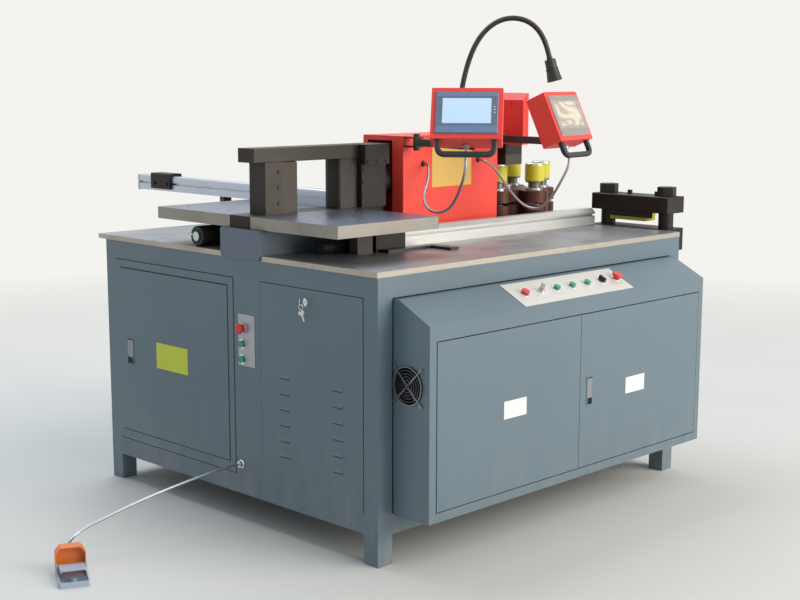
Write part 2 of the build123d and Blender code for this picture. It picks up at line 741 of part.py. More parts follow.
def make_bending_frame():
    """Closed bending frame, punch holder, sliding ram, and the cylinder with its blocks."""
    middle = frame_axis()
    half = post_width / 2
    beam_bottom = tie_beam_top - tie_beam_height
    post = block((post_start, post_start + post_length), (middle - half, middle + half),
                 (support_top, beam_bottom))
    post = round_edges(post, Axis.Z, 2)
    beam = block((tie_beam_start, cylinder_block_start), (middle - half, middle + half),
                 (beam_bottom, tie_beam_top))
    post += round_edges(beam, Axis.X, 1.5)
    for rise in post_screw_rises:
        post += rod(6.5, (post_start + post_length - 13, middle - half - 3, support_top + rise), 4, "y")
    save("bending_frame", post)
    holder = block((post_start + post_length, punch_holder_end), (middle - half + 6, middle + half - 6),
                   (support_top, beam_bottom - 2))
    tip = punch_holder_end + 20
    nose = extrude_xy([(punch_holder_end, middle - 20), (tip, middle - 3), (tip, middle + 3),
                       (punch_holder_end, middle + 20)], support_top, beam_bottom - 2)
    save("bending_punch", holder + nose)

    ram = block((bend_ram_start, bend_ram_start + bend_ram_length), (middle - half + 3, middle + half - 3),
                (support_top + running_gap, beam_bottom - running_gap))
    ram -= extrude_xy([(bend_ram_start - 1, middle - 25), (bend_ram_start + 24, middle),
                       (bend_ram_start - 1, middle + 25)], support_top, tie_beam_top)
    ram += rod(piston_radius, (bend_ram_start + bend_ram_length - 1, middle, ram_axis), bend_stroke + 40,
               "x")
    save("bending_ram", ram)
    xs = (cylinder_block_start, cylinder_block_end)
    body = round_edges(block(xs, (middle - 55, middle + 55), (support_top, clamp_bottom)), Axis.Z, 4)
    body += round_edges(block(xs, (middle - 72, middle + half), (clamp_bottom, tie_beam_top)), Axis.Z, 4)
    for x in (12, 54, 96):
        body += rod(5, (xs[0] + x, middle - 72 - 2.5, clamp_bottom + 10), 4, "y")
    for rise in (38, 82, 126):
        body += rod(5, (xs[0] + 9, middle - 55 - 2.5, support_top + rise), 4, "y")
    body += rod(barrel_radius + 8, (xs[1] - 1, middle, ram_axis), 23, "x")
    body += rod(barrel_radius, (xs[1] + 20, middle, ram_axis), 260, "x")
    body -= rod(piston_radius + pin_clearance, (xs[0] - 1, middle, ram_axis), bend_stroke + 80, "x")
    save("bending_cylinder", body)


def extrude_xy(points, z0, z1):
    """A solid of an outline in X and Y, extruded upwards between two heights."""
    outline = Plane((left, front, z0), x_dir=(1, 0, 0), z_dir=(0, 0, 1))
    return extrude(outline * make_face(Polyline(*points, close=True)), z1 - z0)


def make_red_covers():
    """Folded covers over the bending cylinder and the punch's upper jaw, with the arms' brackets."""
    cover = block((cover_start, cover_end), (cover_front, cover_back), (table_height, cover_top))
    cover -= block((cover_start + sheet, cover_end - sheet), (cover_front + sheet, cover_back - sheet),
                   (table_height - 1, cover_top - sheet))
    middle = frame_axis()
    cover -= block((cover_start - 1, cover_start + 3), (middle - barrel_radius - seam, middle + 74),
                   (table_height - 1, tie_beam_top + 8))
    for x, z in conduit_holes:
        cover += rod(hole_radius, (x, cover_front - 1, z), 4, "y")
    for pivot in arm_pivots:
        cover += fork_plates([(pivot[0] - 18, pivot[0] + 18), (pivot[1] - 14, cover_front)], pivot)
    save("bending_cover", cover)

    sides = jaw_sides()
    x0 = sides[0] - running_gap - sheet
    x1 = sides[1] + running_gap + sheet
    profile = [(x0, hood_low), (x0, hood_top), (x0 + 24, hood_top + 24), (x1, hood_top + 24),
               (x1, hood_low)]
    inner = [(x0 + sheet, head_top), (x0 + sheet, hood_top - 1), (x0 + 24.8, hood_top + 24 - sheet),
             (x1 - sheet, hood_top + 24 - sheet), (x1 - sheet, head_top)]
    hood = extrude_xz(profile, hood_front, hood_back) - extrude_xz(inner, hood_front + sheet,
                                                                   hood_back - sheet)
    nose = [(x0, hood_low), (x0, hood_top), (x0 + 24, hood_top + 24), (x0 + 30, hood_top + 24),
            (x0 + 30, hood_low)]
    nose_inner = [(x0 + sheet, head_top), (x0 + sheet, hood_top - 1), (x0 + 24.8, hood_top + 24 - sheet),
                  (x0 + 30 - sheet, hood_top + 24 - sheet), (x0 + 30 - sheet, head_top)]
    hood += extrude_xz(nose, nose_front, hood_front) - extrude_xz(nose_inner, nose_front + sheet,
                                                                  hood_front + 1)
    hood += rod(6, (x0 - 3, nose_front + 60, hood_top - 14), 4, "x")
    hood -= block((sides[0] - running_gap, sides[1] + running_gap), (hood_back - sheet - 1, hood_back + 1),
                  (hood_low - 1, jaw_shoulder_top + running_gap))
    save("punch_cover", hood)


def fork_plates(limits, pivot):
    """Two plates of a fork over and under an arm's end, bored for its pin."""
    half = arm_tube / 2 + running_gap
    plates = None
    for low, high in ((arm_height + half, arm_height + half + 5),
                      (arm_height - half - 5, arm_height - half)):
        plate = block(*limits, (low, high))
        plates = plate if plates is None else plates + plate
    return plates - rod(arm_pin_radius + pin_clearance, (pivot[0], pivot[1], arm_height - 60), 120)


def extrude_xz(points, y0, y1):
    """A solid of an outline in X and Z, extruded to the back between two places."""
    outline = Plane((left, front + y0, 0), x_dir=(1, 0, 0), z_dir=(0, -1, 0))
    return extrude(outline * make_face(Polyline(*points, close=True)), -(y1 - y0))


def make_gauge_and_fence():
    """Back gauge rail with foot, end block and carriage, and the fence with its T slot."""
    top = support_top + gauge_height
    x0 = gauge_start
    x1 = gauge_start + gauge_width
    slot = (support_top + 24, support_top + 32)
    rail = block((x0, x1), (gauge_front, gauge_back), (support_top, top))
    rail = fillet(rail.edges().filter_by(Axis.Y).group_by(Axis.Z)[-1], 9)
    rail -= block((x0 - 1, x0 + 9), (gauge_front - 1, gauge_back + 1), slot)
    rail -= block((x1 - 9, x1 + 1), (gauge_front - 1, gauge_back + 1), slot)
    rail += block((x0 - 1, x1 + 1), (gauge_back, gauge_back + 10), (support_top - 2, top))
    rail += block((x0 + 2, x1 - 2), (gauge_foot_y - 12, gauge_foot_y + 12), (table_height, support_top + 1))
    rail += block((x0 - 14, x1 + 14), (gauge_foot_y - 20, gauge_foot_y + 20),
                  (table_height, table_height + 6))
    save("gauge_rail", rail)
    ys = (gauge_rest - carriage_length / 2, gauge_rest + carriage_length / 2)
    carriage = block((x0 - 9, x1 + 9), ys, (support_top + 8, top + 10))
    carriage -= block((x0 - running_gap, x1 + running_gap), (ys[0] - 1, ys[1] + 1),
                      (support_top - 1, top + running_gap))
    carriage = chamfer(carriage.edges().filter_by(Axis.Y).group_by(Axis.Z)[-1], 3)
    for y in (ys[0] + 22, ys[1] - 22):
        carriage += rod(6, (x0 - 13, y, support_top + gauge_height / 2), 5, "x")
    save("gauge_carriage", carriage)

    low = table_height
    high = table_height + fence_height
    y0 = fence_front
    y1 = fence_front + fence_depth
    profile = [(y0, low), (y0, low + 33), (y0 + 5, low + 33), (y0 + 5, low + 29), (y0 + 11, low + 29),
               (y0 + 11, low + 44), (y0 + 5, low + 44), (y0 + 5, low + 40), (y0, low + 40),
               (y0, low + 47), (y0 + 14, high), (y1, high), (y1, low)]
    fence = extrude_outline(profile, fence_start, fence_end)
    core = [(y0 + 4, low + 4), (y0 + 4, low + 25), (y0 + 15, low + 25), (y0 + 15, high - 5),
            (y1 - 4, high - 5), (y1 - 4, low + 4)]
    fence -= extrude_outline(core, fence_start - 1, fence_end + 1)
    fence += rod(5, (fence_end - 22, y0 - 2, low + 20), 4, "y")
    save("fence", fence)


def petal(thickness):
    """A turret disc: a hub with a rounded lobe at each station."""
    outline = Circle(hub_radius)
    for angle in station_angles():
        outline += Pos(station_circle * cos(angle), station_circle * sin(angle)) * Circle(lobe_radius)
    disc = extrude(outline, thickness)
    return chamfer(disc.edges().group_by(Axis.Z)[-1], 3)


def station_angles():
    """Angles of the stations around the turret, the working one first."""
    return [radians(working_angle + number * 360 / station_count) for number in range(station_count)]


def station(number, z):
    """A location at one station and height."""
    angle = station_angles()[number]
    return place(turret_x + station_circle * cos(angle), turret_y + station_circle * sin(angle), z)


def revolved(points):
    """A turned solid from half an outline in radius and height."""
    return revolve(Plane.XZ * make_face(Polyline(*points, close=True)), Axis.Z)


def make_turret():
    """Two petal discs on a shaft: punch guides and urethane springs above, dies below."""
    upper = place(turret_x, turret_y, upper_disc_bottom) * petal(disc_thickness)
    lower = place(turret_x, turret_y, lower_disc_bottom) * petal(disc_thickness)
    rise = spring_bottom - upper_disc_top
    guide = revolved([(shank_radius + pin_clearance, 0), (guide_radius, 0), (guide_radius, disc_thickness),
                      (guide_radius + 7, disc_thickness), (guide_radius + 7, disc_thickness + 8),
                      (guide_radius - 1, disc_thickness + 10),
                      (guide_radius - 1, disc_thickness + rise - 9),
                      (guide_radius + 9, disc_thickness + rise - 6),
                      (guide_radius + 9, disc_thickness + rise),
                      (shank_radius + pin_clearance, disc_thickness + rise)])
    die = revolved([(shank_radius + 0.5, 0), (18, 0), (18, disc_thickness - 20), (27, disc_thickness - 20),
                    (27, disc_thickness + 1), (26, disc_thickness + 2),
                    (shank_radius + 0.5, disc_thickness + 2)])
    for number in range(station_count):
        upper = upper - station(number, upper_disc_bottom) * Cylinder(guide_radius - 1, 4 * disc_thickness)
        upper += station(number, upper_disc_bottom) * guide
        lower = lower - station(number, lower_disc_bottom) * Cylinder(17, 4 * disc_thickness)
        lower += station(number, lower_disc_bottom) * die
        lower -= station(number, lower_disc_bottom) * Cylinder(shank_radius + 0.5, 4 * disc_thickness)
    upper += place(turret_x, turret_y, upper_disc_top + 6) * Cylinder(26, 14)
    upper -= place(turret_x, turret_y, upper_disc_bottom) * Cylinder(shaft_radius, 6 * disc_thickness)
    save("turret_upper_disc", upper)
    shaft_bottom = lower_disc_bottom - shaft_drop + 1
    lower += place(turret_x, turret_y, (shaft_bottom + shaft_top) / 2) * Cylinder(
        shaft_radius, shaft_top - shaft_bottom)
    lower += place(turret_x, turret_y, lower_disc_top + die_gap / 2) * Cylinder(26, die_gap)
    save("turret_lower_disc", lower)

    springs = []
    punches = []
    for number in range(station_count):
        spring = station(number, spring_bottom + spring_height / 2) * Cylinder(spring_radius, spring_height)
        spring -= station(number, spring_bottom) * Cylinder(shank_radius + 1, 4 * spring_height)
        springs.append(spring)
        shank = spring_top - upper_disc_bottom - 2
        outline = [(0, 0), (shank_radius, 0), (shank_radius, shank), (spring_radius - 1, shank),
                   (spring_radius - 1, shank + cap_height - 1.5), (spring_radius - 2.5, shank + cap_height),
                   (0, shank + cap_height)]
        punches.append(station(number, upper_disc_bottom + 2) * revolved(outline))
    save("working_spring", springs[0])
    save("punch_springs", *springs[1:])
    save("working_punch", punches[0])
    save("punches", *punches[1:])


def make_punch_frame():
    """C frame with its head, anvil and the arm over the turret's shaft, and the ram."""
    sides = jaw_sides()
    head_back = 2 * punch_y() - jaw_front
    outline = [(jaw_front, head_top - 1), (jaw_front, jaw_top), (jaw_shoulder, jaw_top),
               (jaw_shoulder, jaw_shoulder_top), (jaw_back, jaw_shoulder_top), (jaw_back, jaw_bottom),
               (jaw_front + 20, jaw_bottom), (jaw_front + 20, plate_bottom - 1),
               (jaw_throat, plate_bottom - 1), (jaw_throat, upper_jaw_bottom),
               (head_back + seam, upper_jaw_bottom), (head_back + seam, head_top - 1)]
    frame = extrude_outline(outline, *sides)
    frame += rod(anvil_radius, (punch_x(), punch_y(), plate_bottom - 2),
                 lower_disc_bottom - running_gap - plate_bottom + 2)
    head_ys = (jaw_front, head_back)
    head = round_edges(block(sides, head_ys, (head_bottom + running_gap, head_top)), Axis.Z, 4)
    arm = block((sides[1] - 6, turret_x), (turret_y - 28, head_ys[1] - 6), (head_bottom + 4, head_top - 12))
    arm += rod(22, (turret_x, turret_y, head_bottom + 4), head_top - head_bottom - 16)
    arm -= rod(shaft_radius + pin_clearance, (turret_x, turret_y, head_bottom - 20), 100)
    frame += head + arm
    frame -= rod(guide_post_radius + pin_clearance, (punch_x(), punch_y(), head_bottom - 1),
                 punch_stroke + 60)
    save("punch_frame", frame)
    ram = round_edges(block(sides, head_ys, (cap_top + running_gap, head_bottom)), Axis.Z, 4)
    ram += rod(guide_post_radius, (punch_x(), punch_y(), head_bottom - 1), punch_stroke + 30)
    save("punch_ram", ram)


def make_shear():
    """Shear at the right end: base on the frame, and a beam drawn down by two columns."""
    x0 = cabinet_length + plate_overhang_side
    x1 = shear_start + shear_width
    ys = (shear_front, shear_back)
    centre_x = shear_start + shear_width / 2
    centre_y = (shear_front + shear_back) / 2
    columns = (centre_y - column_span / 2, centre_y + column_span / 2)
    base = block((x0, x1), ys, (plate_bottom - 1, table_height + 2))
    base += block((cabinet_length - leg_width, x1), ys, (shear_base_bottom, plate_bottom))
    bolt_ends = shear_beam_bottom + shear_beam_height
    for y in columns:
        base -= rod(column_radius + pin_clearance, (centre_x, y, shear_base_bottom - 1), 200)
    save("shear_base", base)
    beam = block((shear_start, x1), ys, (shear_beam_bottom, bolt_ends))
    beam = chamfer(beam.edges().filter_by(Axis.Y), 2)
    for y in columns:
        beam -= rod(neck_radius, (centre_x, y, shear_beam_bottom - 1), 100)
    for share in (0.265, 0.62):
        beam += rod(9, (centre_x + 10, shear_front + share * (shear_back - shear_front), bolt_ends - 1), 15)
    beam += block((shear_start + 2, shear_start + 18), (columns[0] + 36, columns[1] - 36),
                  (shear_beam_bottom - shear_stroke, shear_beam_bottom + 1))
    pad_ys = (columns[0] + 71, columns[1] - column_radius - running_gap)
    pad = round_edges(block((shear_start + 22, x1 - 12), pad_ys, (table_height + 2 + shear_stroke + 1,
                                                                   shear_beam_bottom + 1)), Axis.Z, 4)
    save("shear_beam", beam + pad)
    poles = []
    for y in columns:
        bottom = shear_base_bottom + shear_stroke + 3
        pole = rod(column_radius, (centre_x, y, bottom), shear_beam_bottom - bottom)
        pole += rod(neck_radius, (centre_x, y, shear_beam_bottom - 1), shear_beam_height + 1)
        pole += place(centre_x, y, bolt_ends) * extrude(RegularPolygon(hexagon_radius, 6, rotation=12), 34)
        poles.append(pole)
    save("shear_columns", *poles)


def panel_face(number):
    """A frame on an operator panel's front: X across it, Y up it, Z out of it."""
    centre = panel_centres[number]
    yaw = radians(panel_yaws[number])
    tilt = radians(panel_tilts[number])
    out = Vector(cos(yaw) * cos(tilt), sin(yaw) * cos(tilt), sin(tilt))
    return Plane(Vector(left + centre[0], front + centre[1], centre[2]),
                 x_dir=Vector(-sin(yaw), cos(yaw), 0), z_dir=out)


def panel_under(face):
    """A frame on a panel's bottom face, looking down."""
    return Plane(face.origin - face.y_dir * (panel_height / 2) - face.z_dir * (panel_depth / 2),
                 x_dir=face.x_dir, z_dir=-face.y_dir)


def make_panel(side, number):
    """An operator panel: hollow case, bezel round a screen, bowed handle and cable gland."""
    face = panel_face(number)
    case = fillet(Box(panel_width, panel_height, panel_depth).edges().filter_by(Axis.Z), 4)
    case -= Box(panel_width - 2 * sheet, panel_height - 2 * sheet, panel_depth - 2 * sheet)
    case -= Pos(0, 0, panel_depth / 2) * Box(bezel_width - 12, bezel_height - 12, 12)
    bezel_block = Pos(0, 0, panel_depth / 2 + 2.5) * Box(bezel_width, bezel_height, 5)
    bezel_block = chamfer(bezel_block.edges().group_by(Axis.Z)[-1], 2.5)
    bezel_block += Pos(0, 0, panel_depth / 2 - 12) * Box(bezel_width - 12, bezel_height - 12, 26)
    bezel_block -= Pos(0, 6, panel_depth / 2 + 5) * Box(screen_width, screen_height, 2)
    panel = face * Pos(0, 0, -panel_depth / 2) * (case + bezel_block)
    under = panel_under(face)
    half = handle_length / 2
    path = FilletPolyline((-half, 0), (-half, handle_drop), (half, handle_drop), (half, 0),
                          radius=handle_bend)
    bar = Plane(under.origin + face.z_dir * handle_offset, x_dir=under.x_dir, z_dir=face.z_dir)
    grip_path = bar * Rot(180, 0, 0) * path
    start = Plane(grip_path @ 0, x_dir=face.x_dir, z_dir=grip_path % 0)
    panel += sweep(start * RectangleRounded(handle_width, handle_width, 5), path=grip_path)
    panel += under * Pos(0, gland_shift(under, face), 7) * Cylinder(9, 14)
    panel += under * Pos(0, gland_shift(under, face), 2) * extrude(RegularPolygon(13, 6), 5)
    save(f"{side}_panel", panel)


def gland_shift(under, face):
    """How far the gland is from the bottom's middle, towards the panel's back."""
    return -gland_offset * under.y_dir.dot(face.z_dir)


def gland_point(number, distance):
    """A point on a panel's gland axis, some way below the bottom face, in the cabinet's measures."""
    face = panel_face(number)
    under = panel_under(face)
    point = under.origin - face.z_dir * gland_offset + under.z_dir * distance
    return (point.X - left, point.Y - front, point.Z)


def make_arm(side, number):
    """A swing arm: square tube with a pin and knobs at its fork, cut to the panel's back."""
    face = panel_face(number)
    back = face.origin - face.z_dir * panel_depth - face.y_dir * (panel_height / 2 - arm_tube)
    pivot = Vector(left + arm_pivots[number][0], front + arm_pivots[number][1], arm_height)
    reach = Vector(back.X - pivot.X, back.Y - pivot.Y, 0)
    frame = Plane(pivot, x_dir=reach, z_dir=(0, 0, 1))
    length = reach.length + 70
    arm = frame * Pos(length / 2, 0, 0) * Box(length, arm_tube, arm_tube)
    arm += frame * Cylinder(arm_tube / 2, arm_tube)
    foot = face * Pos(0, -(panel_height / 2 - arm_tube - 12), -panel_depth - 2) * Box(70, 60, 4)
    arm += foot
    arm -= face * Pos(0, 0, -panel_depth + 400) * Box(900, 900, 800)
    gap = arm_tube / 2 + running_gap + 5 + running_gap
    arm += frame * Cylinder(arm_pin_radius, 2 * gap + 20)
    for sign in (-1, 1):
        arm += frame * Pos(0, 0, sign * (gap + 5)) * Cylinder(11, 10)
    save(f"{side}_arm", arm)


def turn_radii(points):
    """The bend radius at each inner point: 0.45 of the shorter run over the half turn's tangent."""
    radii = []
    for before, at, after in zip(points, points[1:], points[2:]):
        run_in = Vector(*at) - Vector(*before)
        run_out = Vector(*after) - Vector(*at)
        turn = run_in.get_angle(run_out)
        radii.append(0.45 * min(run_in.length, run_out.length) / tan(radians(turn / 2)))
    return radii


def make_hose(name, points, radius):
    """A round hose along a route of straight runs joined by tangent arcs."""
    route = [Vector(left + x, front + y, z) for x, y, z in points]
    radii = turn_radii(route)
    path = FilletPolyline(*route, radius=radii)
    hose = sweep(Plane(path @ 0, z_dir=path % 0) * Circle(radius), path=path)
    share = hose.volume / (pi * radius ** 2 * path.length)
    runs = [(b - a).length for a, b in zip(route, route[1:])]
    print(name, "length", round(path.length, 1), "volume share", round(share, 4),
          "radii", [round(r) for r in radii], "runs", [round(r) for r in runs])
    return hose


def make_conduits():
    """The two steel conduits from the red cover to the panels' glands."""
    for side, number, route in (("left", 0, left_route), ("right", 1, right_route)):
        x, z = conduit_holes[number]
        points = [(x, cover_front - 1, z), (x, cover_front - 1 - conduit_first_run, z)]
        points += [(x + shift, y, table_height + rise) for shift, y, rise in route]
        points += [gland_point(number, 46), gland_point(number, 14)]
        save(f"{side}_conduit", make_hose(side, points, conduit_radius))


def make_lamp():
    """Gooseneck lamp: flange on the red cover, bent neck and conical head."""
    across = (cos(radians(lamp_turn)), sin(radians(lamp_turn)))
    points = [(lamp_x + s * across[0], lamp_y + s * across[1], cover_top + rise) for s, rise in lamp_route]
    lamp = make_hose("lamp", points, gooseneck_radius)
    lamp += rod(24, (lamp_x, lamp_y, cover_top), 6)
    lamp += rod(14, (lamp_x, lamp_y, cover_top + 5), 20)
    end = points[-1]
    cone = revolved([(gooseneck_radius + 3, 12), (gooseneck_radius + 5, 0), (19, -24), (lamp_radius, -92),
                     (lamp_radius - 2, -92), (17, -25), (0, -25), (0, 12)])
    lamp += place(*end) * Rot(0, 0, lamp_turn) * Rot(0, -10, 0) * cone
    save("lamp", lamp)


def make_pedal():
    """Foot pedal: base tray with a hood over the toe end, and a treadle on a pin."""
    spot = place(pedal_x, pedal_y, 0) * Rot(0, 0, pedal_turn)
    half = pedal_width / 2
    long = pedal_length / 2
    tray = extrude(RectangleRounded(pedal_width, pedal_length, 6), 16)
    tray -= Pos(0, 0, 4) * extrude(RectangleRounded(pedal_width - 8, pedal_length - 8, 4), 20)
    for side in (-1, 1):
        tray += Pos(side * (half - 2), pedal_pin_y, 18) * Box(4, 20, 36)
    tray += Pos(0, pedal_switch_y, 9) * Cylinder(9, 14)
    outline = [(-half, 14), (-half, pedal_hood_height - 18), (-half + 14, pedal_hood_height),
               (half - 14, pedal_hood_height), (half, pedal_hood_height - 18), (half, 14)]
    shell_plane = Plane((0, long, 0), x_dir=(1, 0, 0), z_dir=(0, -1, 0))
    hood = extrude(shell_plane * make_face(Polyline(*outline, close=True)), pedal_hood_depth)
    lip = [(-half + 3, 0), (-half + 3, pedal_hood_height - 19), (-half + 15, pedal_hood_height - 3),
           (half - 15, pedal_hood_height - 3), (half - 3, pedal_hood_height - 19), (half - 3, 0)]
    face_plane = Plane((0, long - pedal_hood_depth, 0), x_dir=(1, 0, 0), z_dir=(0, -1, 0))
    hood -= extrude(face_plane * make_face(Polyline(*lip, close=True)), -16)
    hood += Pos(0, long - 4, pedal_cord_height) * Rot(-90, 0, 0) * Cylinder(9, 16, align=(
        Align.CENTER, Align.CENTER, Align.MIN))
    save("pedal_base", spot * (tray + hood - Pos(0, pedal_pin_y, 30) * Rot(0, 90, 0) * Cylinder(
        pin_radius + pin_clearance, pedal_width + 2)))
    slope = 8
    treadle = Box(pedal_width - 14, pedal_treadle_length, 3.5)
    treadle = fillet(treadle.edges().filter_by(Axis.Z), 5)
    for side in (-1, 1):
        treadle += Pos(side * (half - 8.5), 0, -3.5) * Box(3, pedal_treadle_length - 14, 8)
    pin_spot = Pos(0, pedal_pin_y, 30) * Rot(-slope, 0, 0)
    treadle = pin_spot * Pos(0, -pedal_treadle_length / 2 + 6, 4) * treadle
    treadle += Pos(0, pedal_pin_y, 30) * Rot(0, 90, 0) * Cylinder(pin_radius, pedal_width - 2)
    save("pedal_treadle", spot * treadle)
    turn = radians(pedal_turn)
    exits = [(pedal_x - reach * sin(turn), pedal_y + reach * cos(turn), pedal_cord_height)
             for reach in (long + 12, long + 40)]
    points = exits + pedal_route + [(-16, gland_y, gland_z)]
    save("pedal_conduit", make_hose("pedal", points, pedal_conduit_radius))


def make_hydraulics():
    """Hydraulic unit on the cabinet's floor: tank, lid, motor with fins, valve block and filter."""
    low = floor_height + 3
    tank = round_edges(block(tank_x, tank_y, (low, low + tank_height)), Axis.Z, 8)
    lid_top = low + tank_height + 8
    unit = tank + block((tank_x[0] - 8, tank_x[1] + 8), (tank_y[0] - 8, tank_y[1] + 8),
                        (low + tank_height, lid_top))
    centre_y = (tank_y[0] + tank_y[1]) / 2
    motor_x = tank_x[0] + 130
    unit += rod(85, (motor_x, centre_y, lid_top), 20) + rod(72, (motor_x, centre_y, lid_top + 20), 170)
    for turn in range(12):
        fin = place(motor_x, centre_y, lid_top + 100) * Rot(0, 0, turn * 30) * Pos(75, 0, 0) * Box(12, 3,
                                                                                                   130)
        unit += fin
    unit += block((tank_x[1] - 190, tank_x[1] - 70), (centre_y - 60, centre_y + 60),
                  (lid_top, lid_top + 90))
    unit += rod(40, (tank_x[1] - 60, tank_y[0] + 60, lid_top), 70)
    save("hydraulic_unit", unit)


os.makedirs("parts", exist_ok=True)
make_frame()
make_table()
make_side_panel()
make_vent_panel()
make_tool_door()
make_electrical_box()
make_front_doors()
make_switchgear()
make_fan()
make_controls()
make_bending_bed()
make_bending_frame()
make_red_covers()
make_gauge_and_fence()
make_turret()
make_punch_frame()
make_shear()
for name, position in (("left", 0), ("right", 1)):
    make_panel(name, position)
    make_arm(name, position)
make_conduits()
make_lamp()
make_pedal()
make_hydraulics()
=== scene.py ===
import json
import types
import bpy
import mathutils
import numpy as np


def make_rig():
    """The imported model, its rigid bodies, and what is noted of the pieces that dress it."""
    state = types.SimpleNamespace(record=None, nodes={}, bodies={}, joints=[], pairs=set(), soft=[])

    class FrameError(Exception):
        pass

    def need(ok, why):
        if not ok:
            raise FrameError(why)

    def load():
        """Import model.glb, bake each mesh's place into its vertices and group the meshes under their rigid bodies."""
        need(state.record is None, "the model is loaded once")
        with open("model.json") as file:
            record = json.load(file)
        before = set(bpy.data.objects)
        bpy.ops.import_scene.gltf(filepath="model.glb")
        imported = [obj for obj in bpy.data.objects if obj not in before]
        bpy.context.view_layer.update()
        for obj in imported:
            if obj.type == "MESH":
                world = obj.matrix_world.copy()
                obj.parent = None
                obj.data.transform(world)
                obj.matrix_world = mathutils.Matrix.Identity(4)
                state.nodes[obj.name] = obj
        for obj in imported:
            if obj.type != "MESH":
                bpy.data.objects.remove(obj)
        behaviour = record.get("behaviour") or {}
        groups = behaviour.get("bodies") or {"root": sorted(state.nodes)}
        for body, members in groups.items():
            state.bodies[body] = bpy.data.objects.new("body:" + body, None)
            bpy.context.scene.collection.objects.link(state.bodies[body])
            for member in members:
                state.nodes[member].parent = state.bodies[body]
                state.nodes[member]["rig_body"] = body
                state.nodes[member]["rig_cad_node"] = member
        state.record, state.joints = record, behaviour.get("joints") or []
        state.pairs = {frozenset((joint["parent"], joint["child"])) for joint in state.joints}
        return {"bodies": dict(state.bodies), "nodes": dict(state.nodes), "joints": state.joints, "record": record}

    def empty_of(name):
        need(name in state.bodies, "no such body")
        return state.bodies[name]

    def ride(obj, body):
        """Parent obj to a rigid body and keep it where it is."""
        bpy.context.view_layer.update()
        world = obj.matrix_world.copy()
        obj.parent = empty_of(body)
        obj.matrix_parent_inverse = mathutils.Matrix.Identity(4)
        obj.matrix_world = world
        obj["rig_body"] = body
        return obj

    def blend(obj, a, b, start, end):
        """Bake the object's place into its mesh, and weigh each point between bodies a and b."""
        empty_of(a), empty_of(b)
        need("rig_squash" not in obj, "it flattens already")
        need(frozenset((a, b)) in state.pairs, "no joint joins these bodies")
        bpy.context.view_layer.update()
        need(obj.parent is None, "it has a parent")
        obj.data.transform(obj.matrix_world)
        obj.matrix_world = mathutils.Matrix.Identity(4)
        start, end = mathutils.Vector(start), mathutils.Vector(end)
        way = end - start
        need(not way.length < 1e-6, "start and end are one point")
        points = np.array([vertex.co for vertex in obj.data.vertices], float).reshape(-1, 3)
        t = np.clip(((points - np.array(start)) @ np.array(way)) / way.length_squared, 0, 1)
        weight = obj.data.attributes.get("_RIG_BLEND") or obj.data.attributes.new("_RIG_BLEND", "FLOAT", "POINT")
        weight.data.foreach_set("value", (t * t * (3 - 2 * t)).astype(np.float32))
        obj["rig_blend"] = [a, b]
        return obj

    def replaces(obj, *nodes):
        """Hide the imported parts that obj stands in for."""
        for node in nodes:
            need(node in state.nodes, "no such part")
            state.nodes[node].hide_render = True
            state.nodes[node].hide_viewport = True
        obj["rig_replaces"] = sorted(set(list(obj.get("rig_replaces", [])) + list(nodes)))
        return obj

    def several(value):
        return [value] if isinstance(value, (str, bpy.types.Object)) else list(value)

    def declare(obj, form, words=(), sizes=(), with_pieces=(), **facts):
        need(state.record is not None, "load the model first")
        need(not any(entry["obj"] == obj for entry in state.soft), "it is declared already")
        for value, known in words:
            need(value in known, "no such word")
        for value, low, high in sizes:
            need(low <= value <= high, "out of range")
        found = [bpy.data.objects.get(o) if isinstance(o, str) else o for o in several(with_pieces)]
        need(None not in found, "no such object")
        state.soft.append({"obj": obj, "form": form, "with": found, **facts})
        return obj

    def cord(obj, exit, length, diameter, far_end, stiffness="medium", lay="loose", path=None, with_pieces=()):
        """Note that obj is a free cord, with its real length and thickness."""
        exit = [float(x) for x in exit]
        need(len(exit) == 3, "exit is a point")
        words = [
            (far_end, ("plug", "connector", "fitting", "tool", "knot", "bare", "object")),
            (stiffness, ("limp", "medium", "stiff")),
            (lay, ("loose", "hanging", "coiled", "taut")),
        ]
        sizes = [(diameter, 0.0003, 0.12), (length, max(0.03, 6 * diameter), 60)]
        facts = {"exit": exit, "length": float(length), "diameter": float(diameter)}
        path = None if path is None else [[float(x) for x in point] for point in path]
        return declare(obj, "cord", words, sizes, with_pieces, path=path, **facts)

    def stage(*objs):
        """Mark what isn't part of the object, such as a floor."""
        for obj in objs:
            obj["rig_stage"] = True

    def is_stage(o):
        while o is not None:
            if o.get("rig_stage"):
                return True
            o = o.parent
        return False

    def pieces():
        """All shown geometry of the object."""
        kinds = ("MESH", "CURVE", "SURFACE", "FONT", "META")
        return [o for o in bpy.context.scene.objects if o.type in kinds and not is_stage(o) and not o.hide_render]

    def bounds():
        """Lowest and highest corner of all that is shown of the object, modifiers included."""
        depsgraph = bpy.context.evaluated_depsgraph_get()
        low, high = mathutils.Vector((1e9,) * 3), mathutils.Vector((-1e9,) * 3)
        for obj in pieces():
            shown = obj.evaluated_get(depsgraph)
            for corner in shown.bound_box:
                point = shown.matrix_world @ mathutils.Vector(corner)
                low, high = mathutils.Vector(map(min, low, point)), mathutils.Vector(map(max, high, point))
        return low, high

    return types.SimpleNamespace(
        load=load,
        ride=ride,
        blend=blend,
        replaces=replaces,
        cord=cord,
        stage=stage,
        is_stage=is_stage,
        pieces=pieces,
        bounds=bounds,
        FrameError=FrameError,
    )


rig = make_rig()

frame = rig.load()

import bpy
import bmesh
import json
from math import cos, hypot, pi, radians, sin
from mathutils import Matrix, Vector

for name in ("Cube", "Camera", "Light"):
    if name in bpy.data.objects:
        bpy.data.objects.remove(bpy.data.objects[name])

cad_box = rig.bounds()
nodes = frame["nodes"]

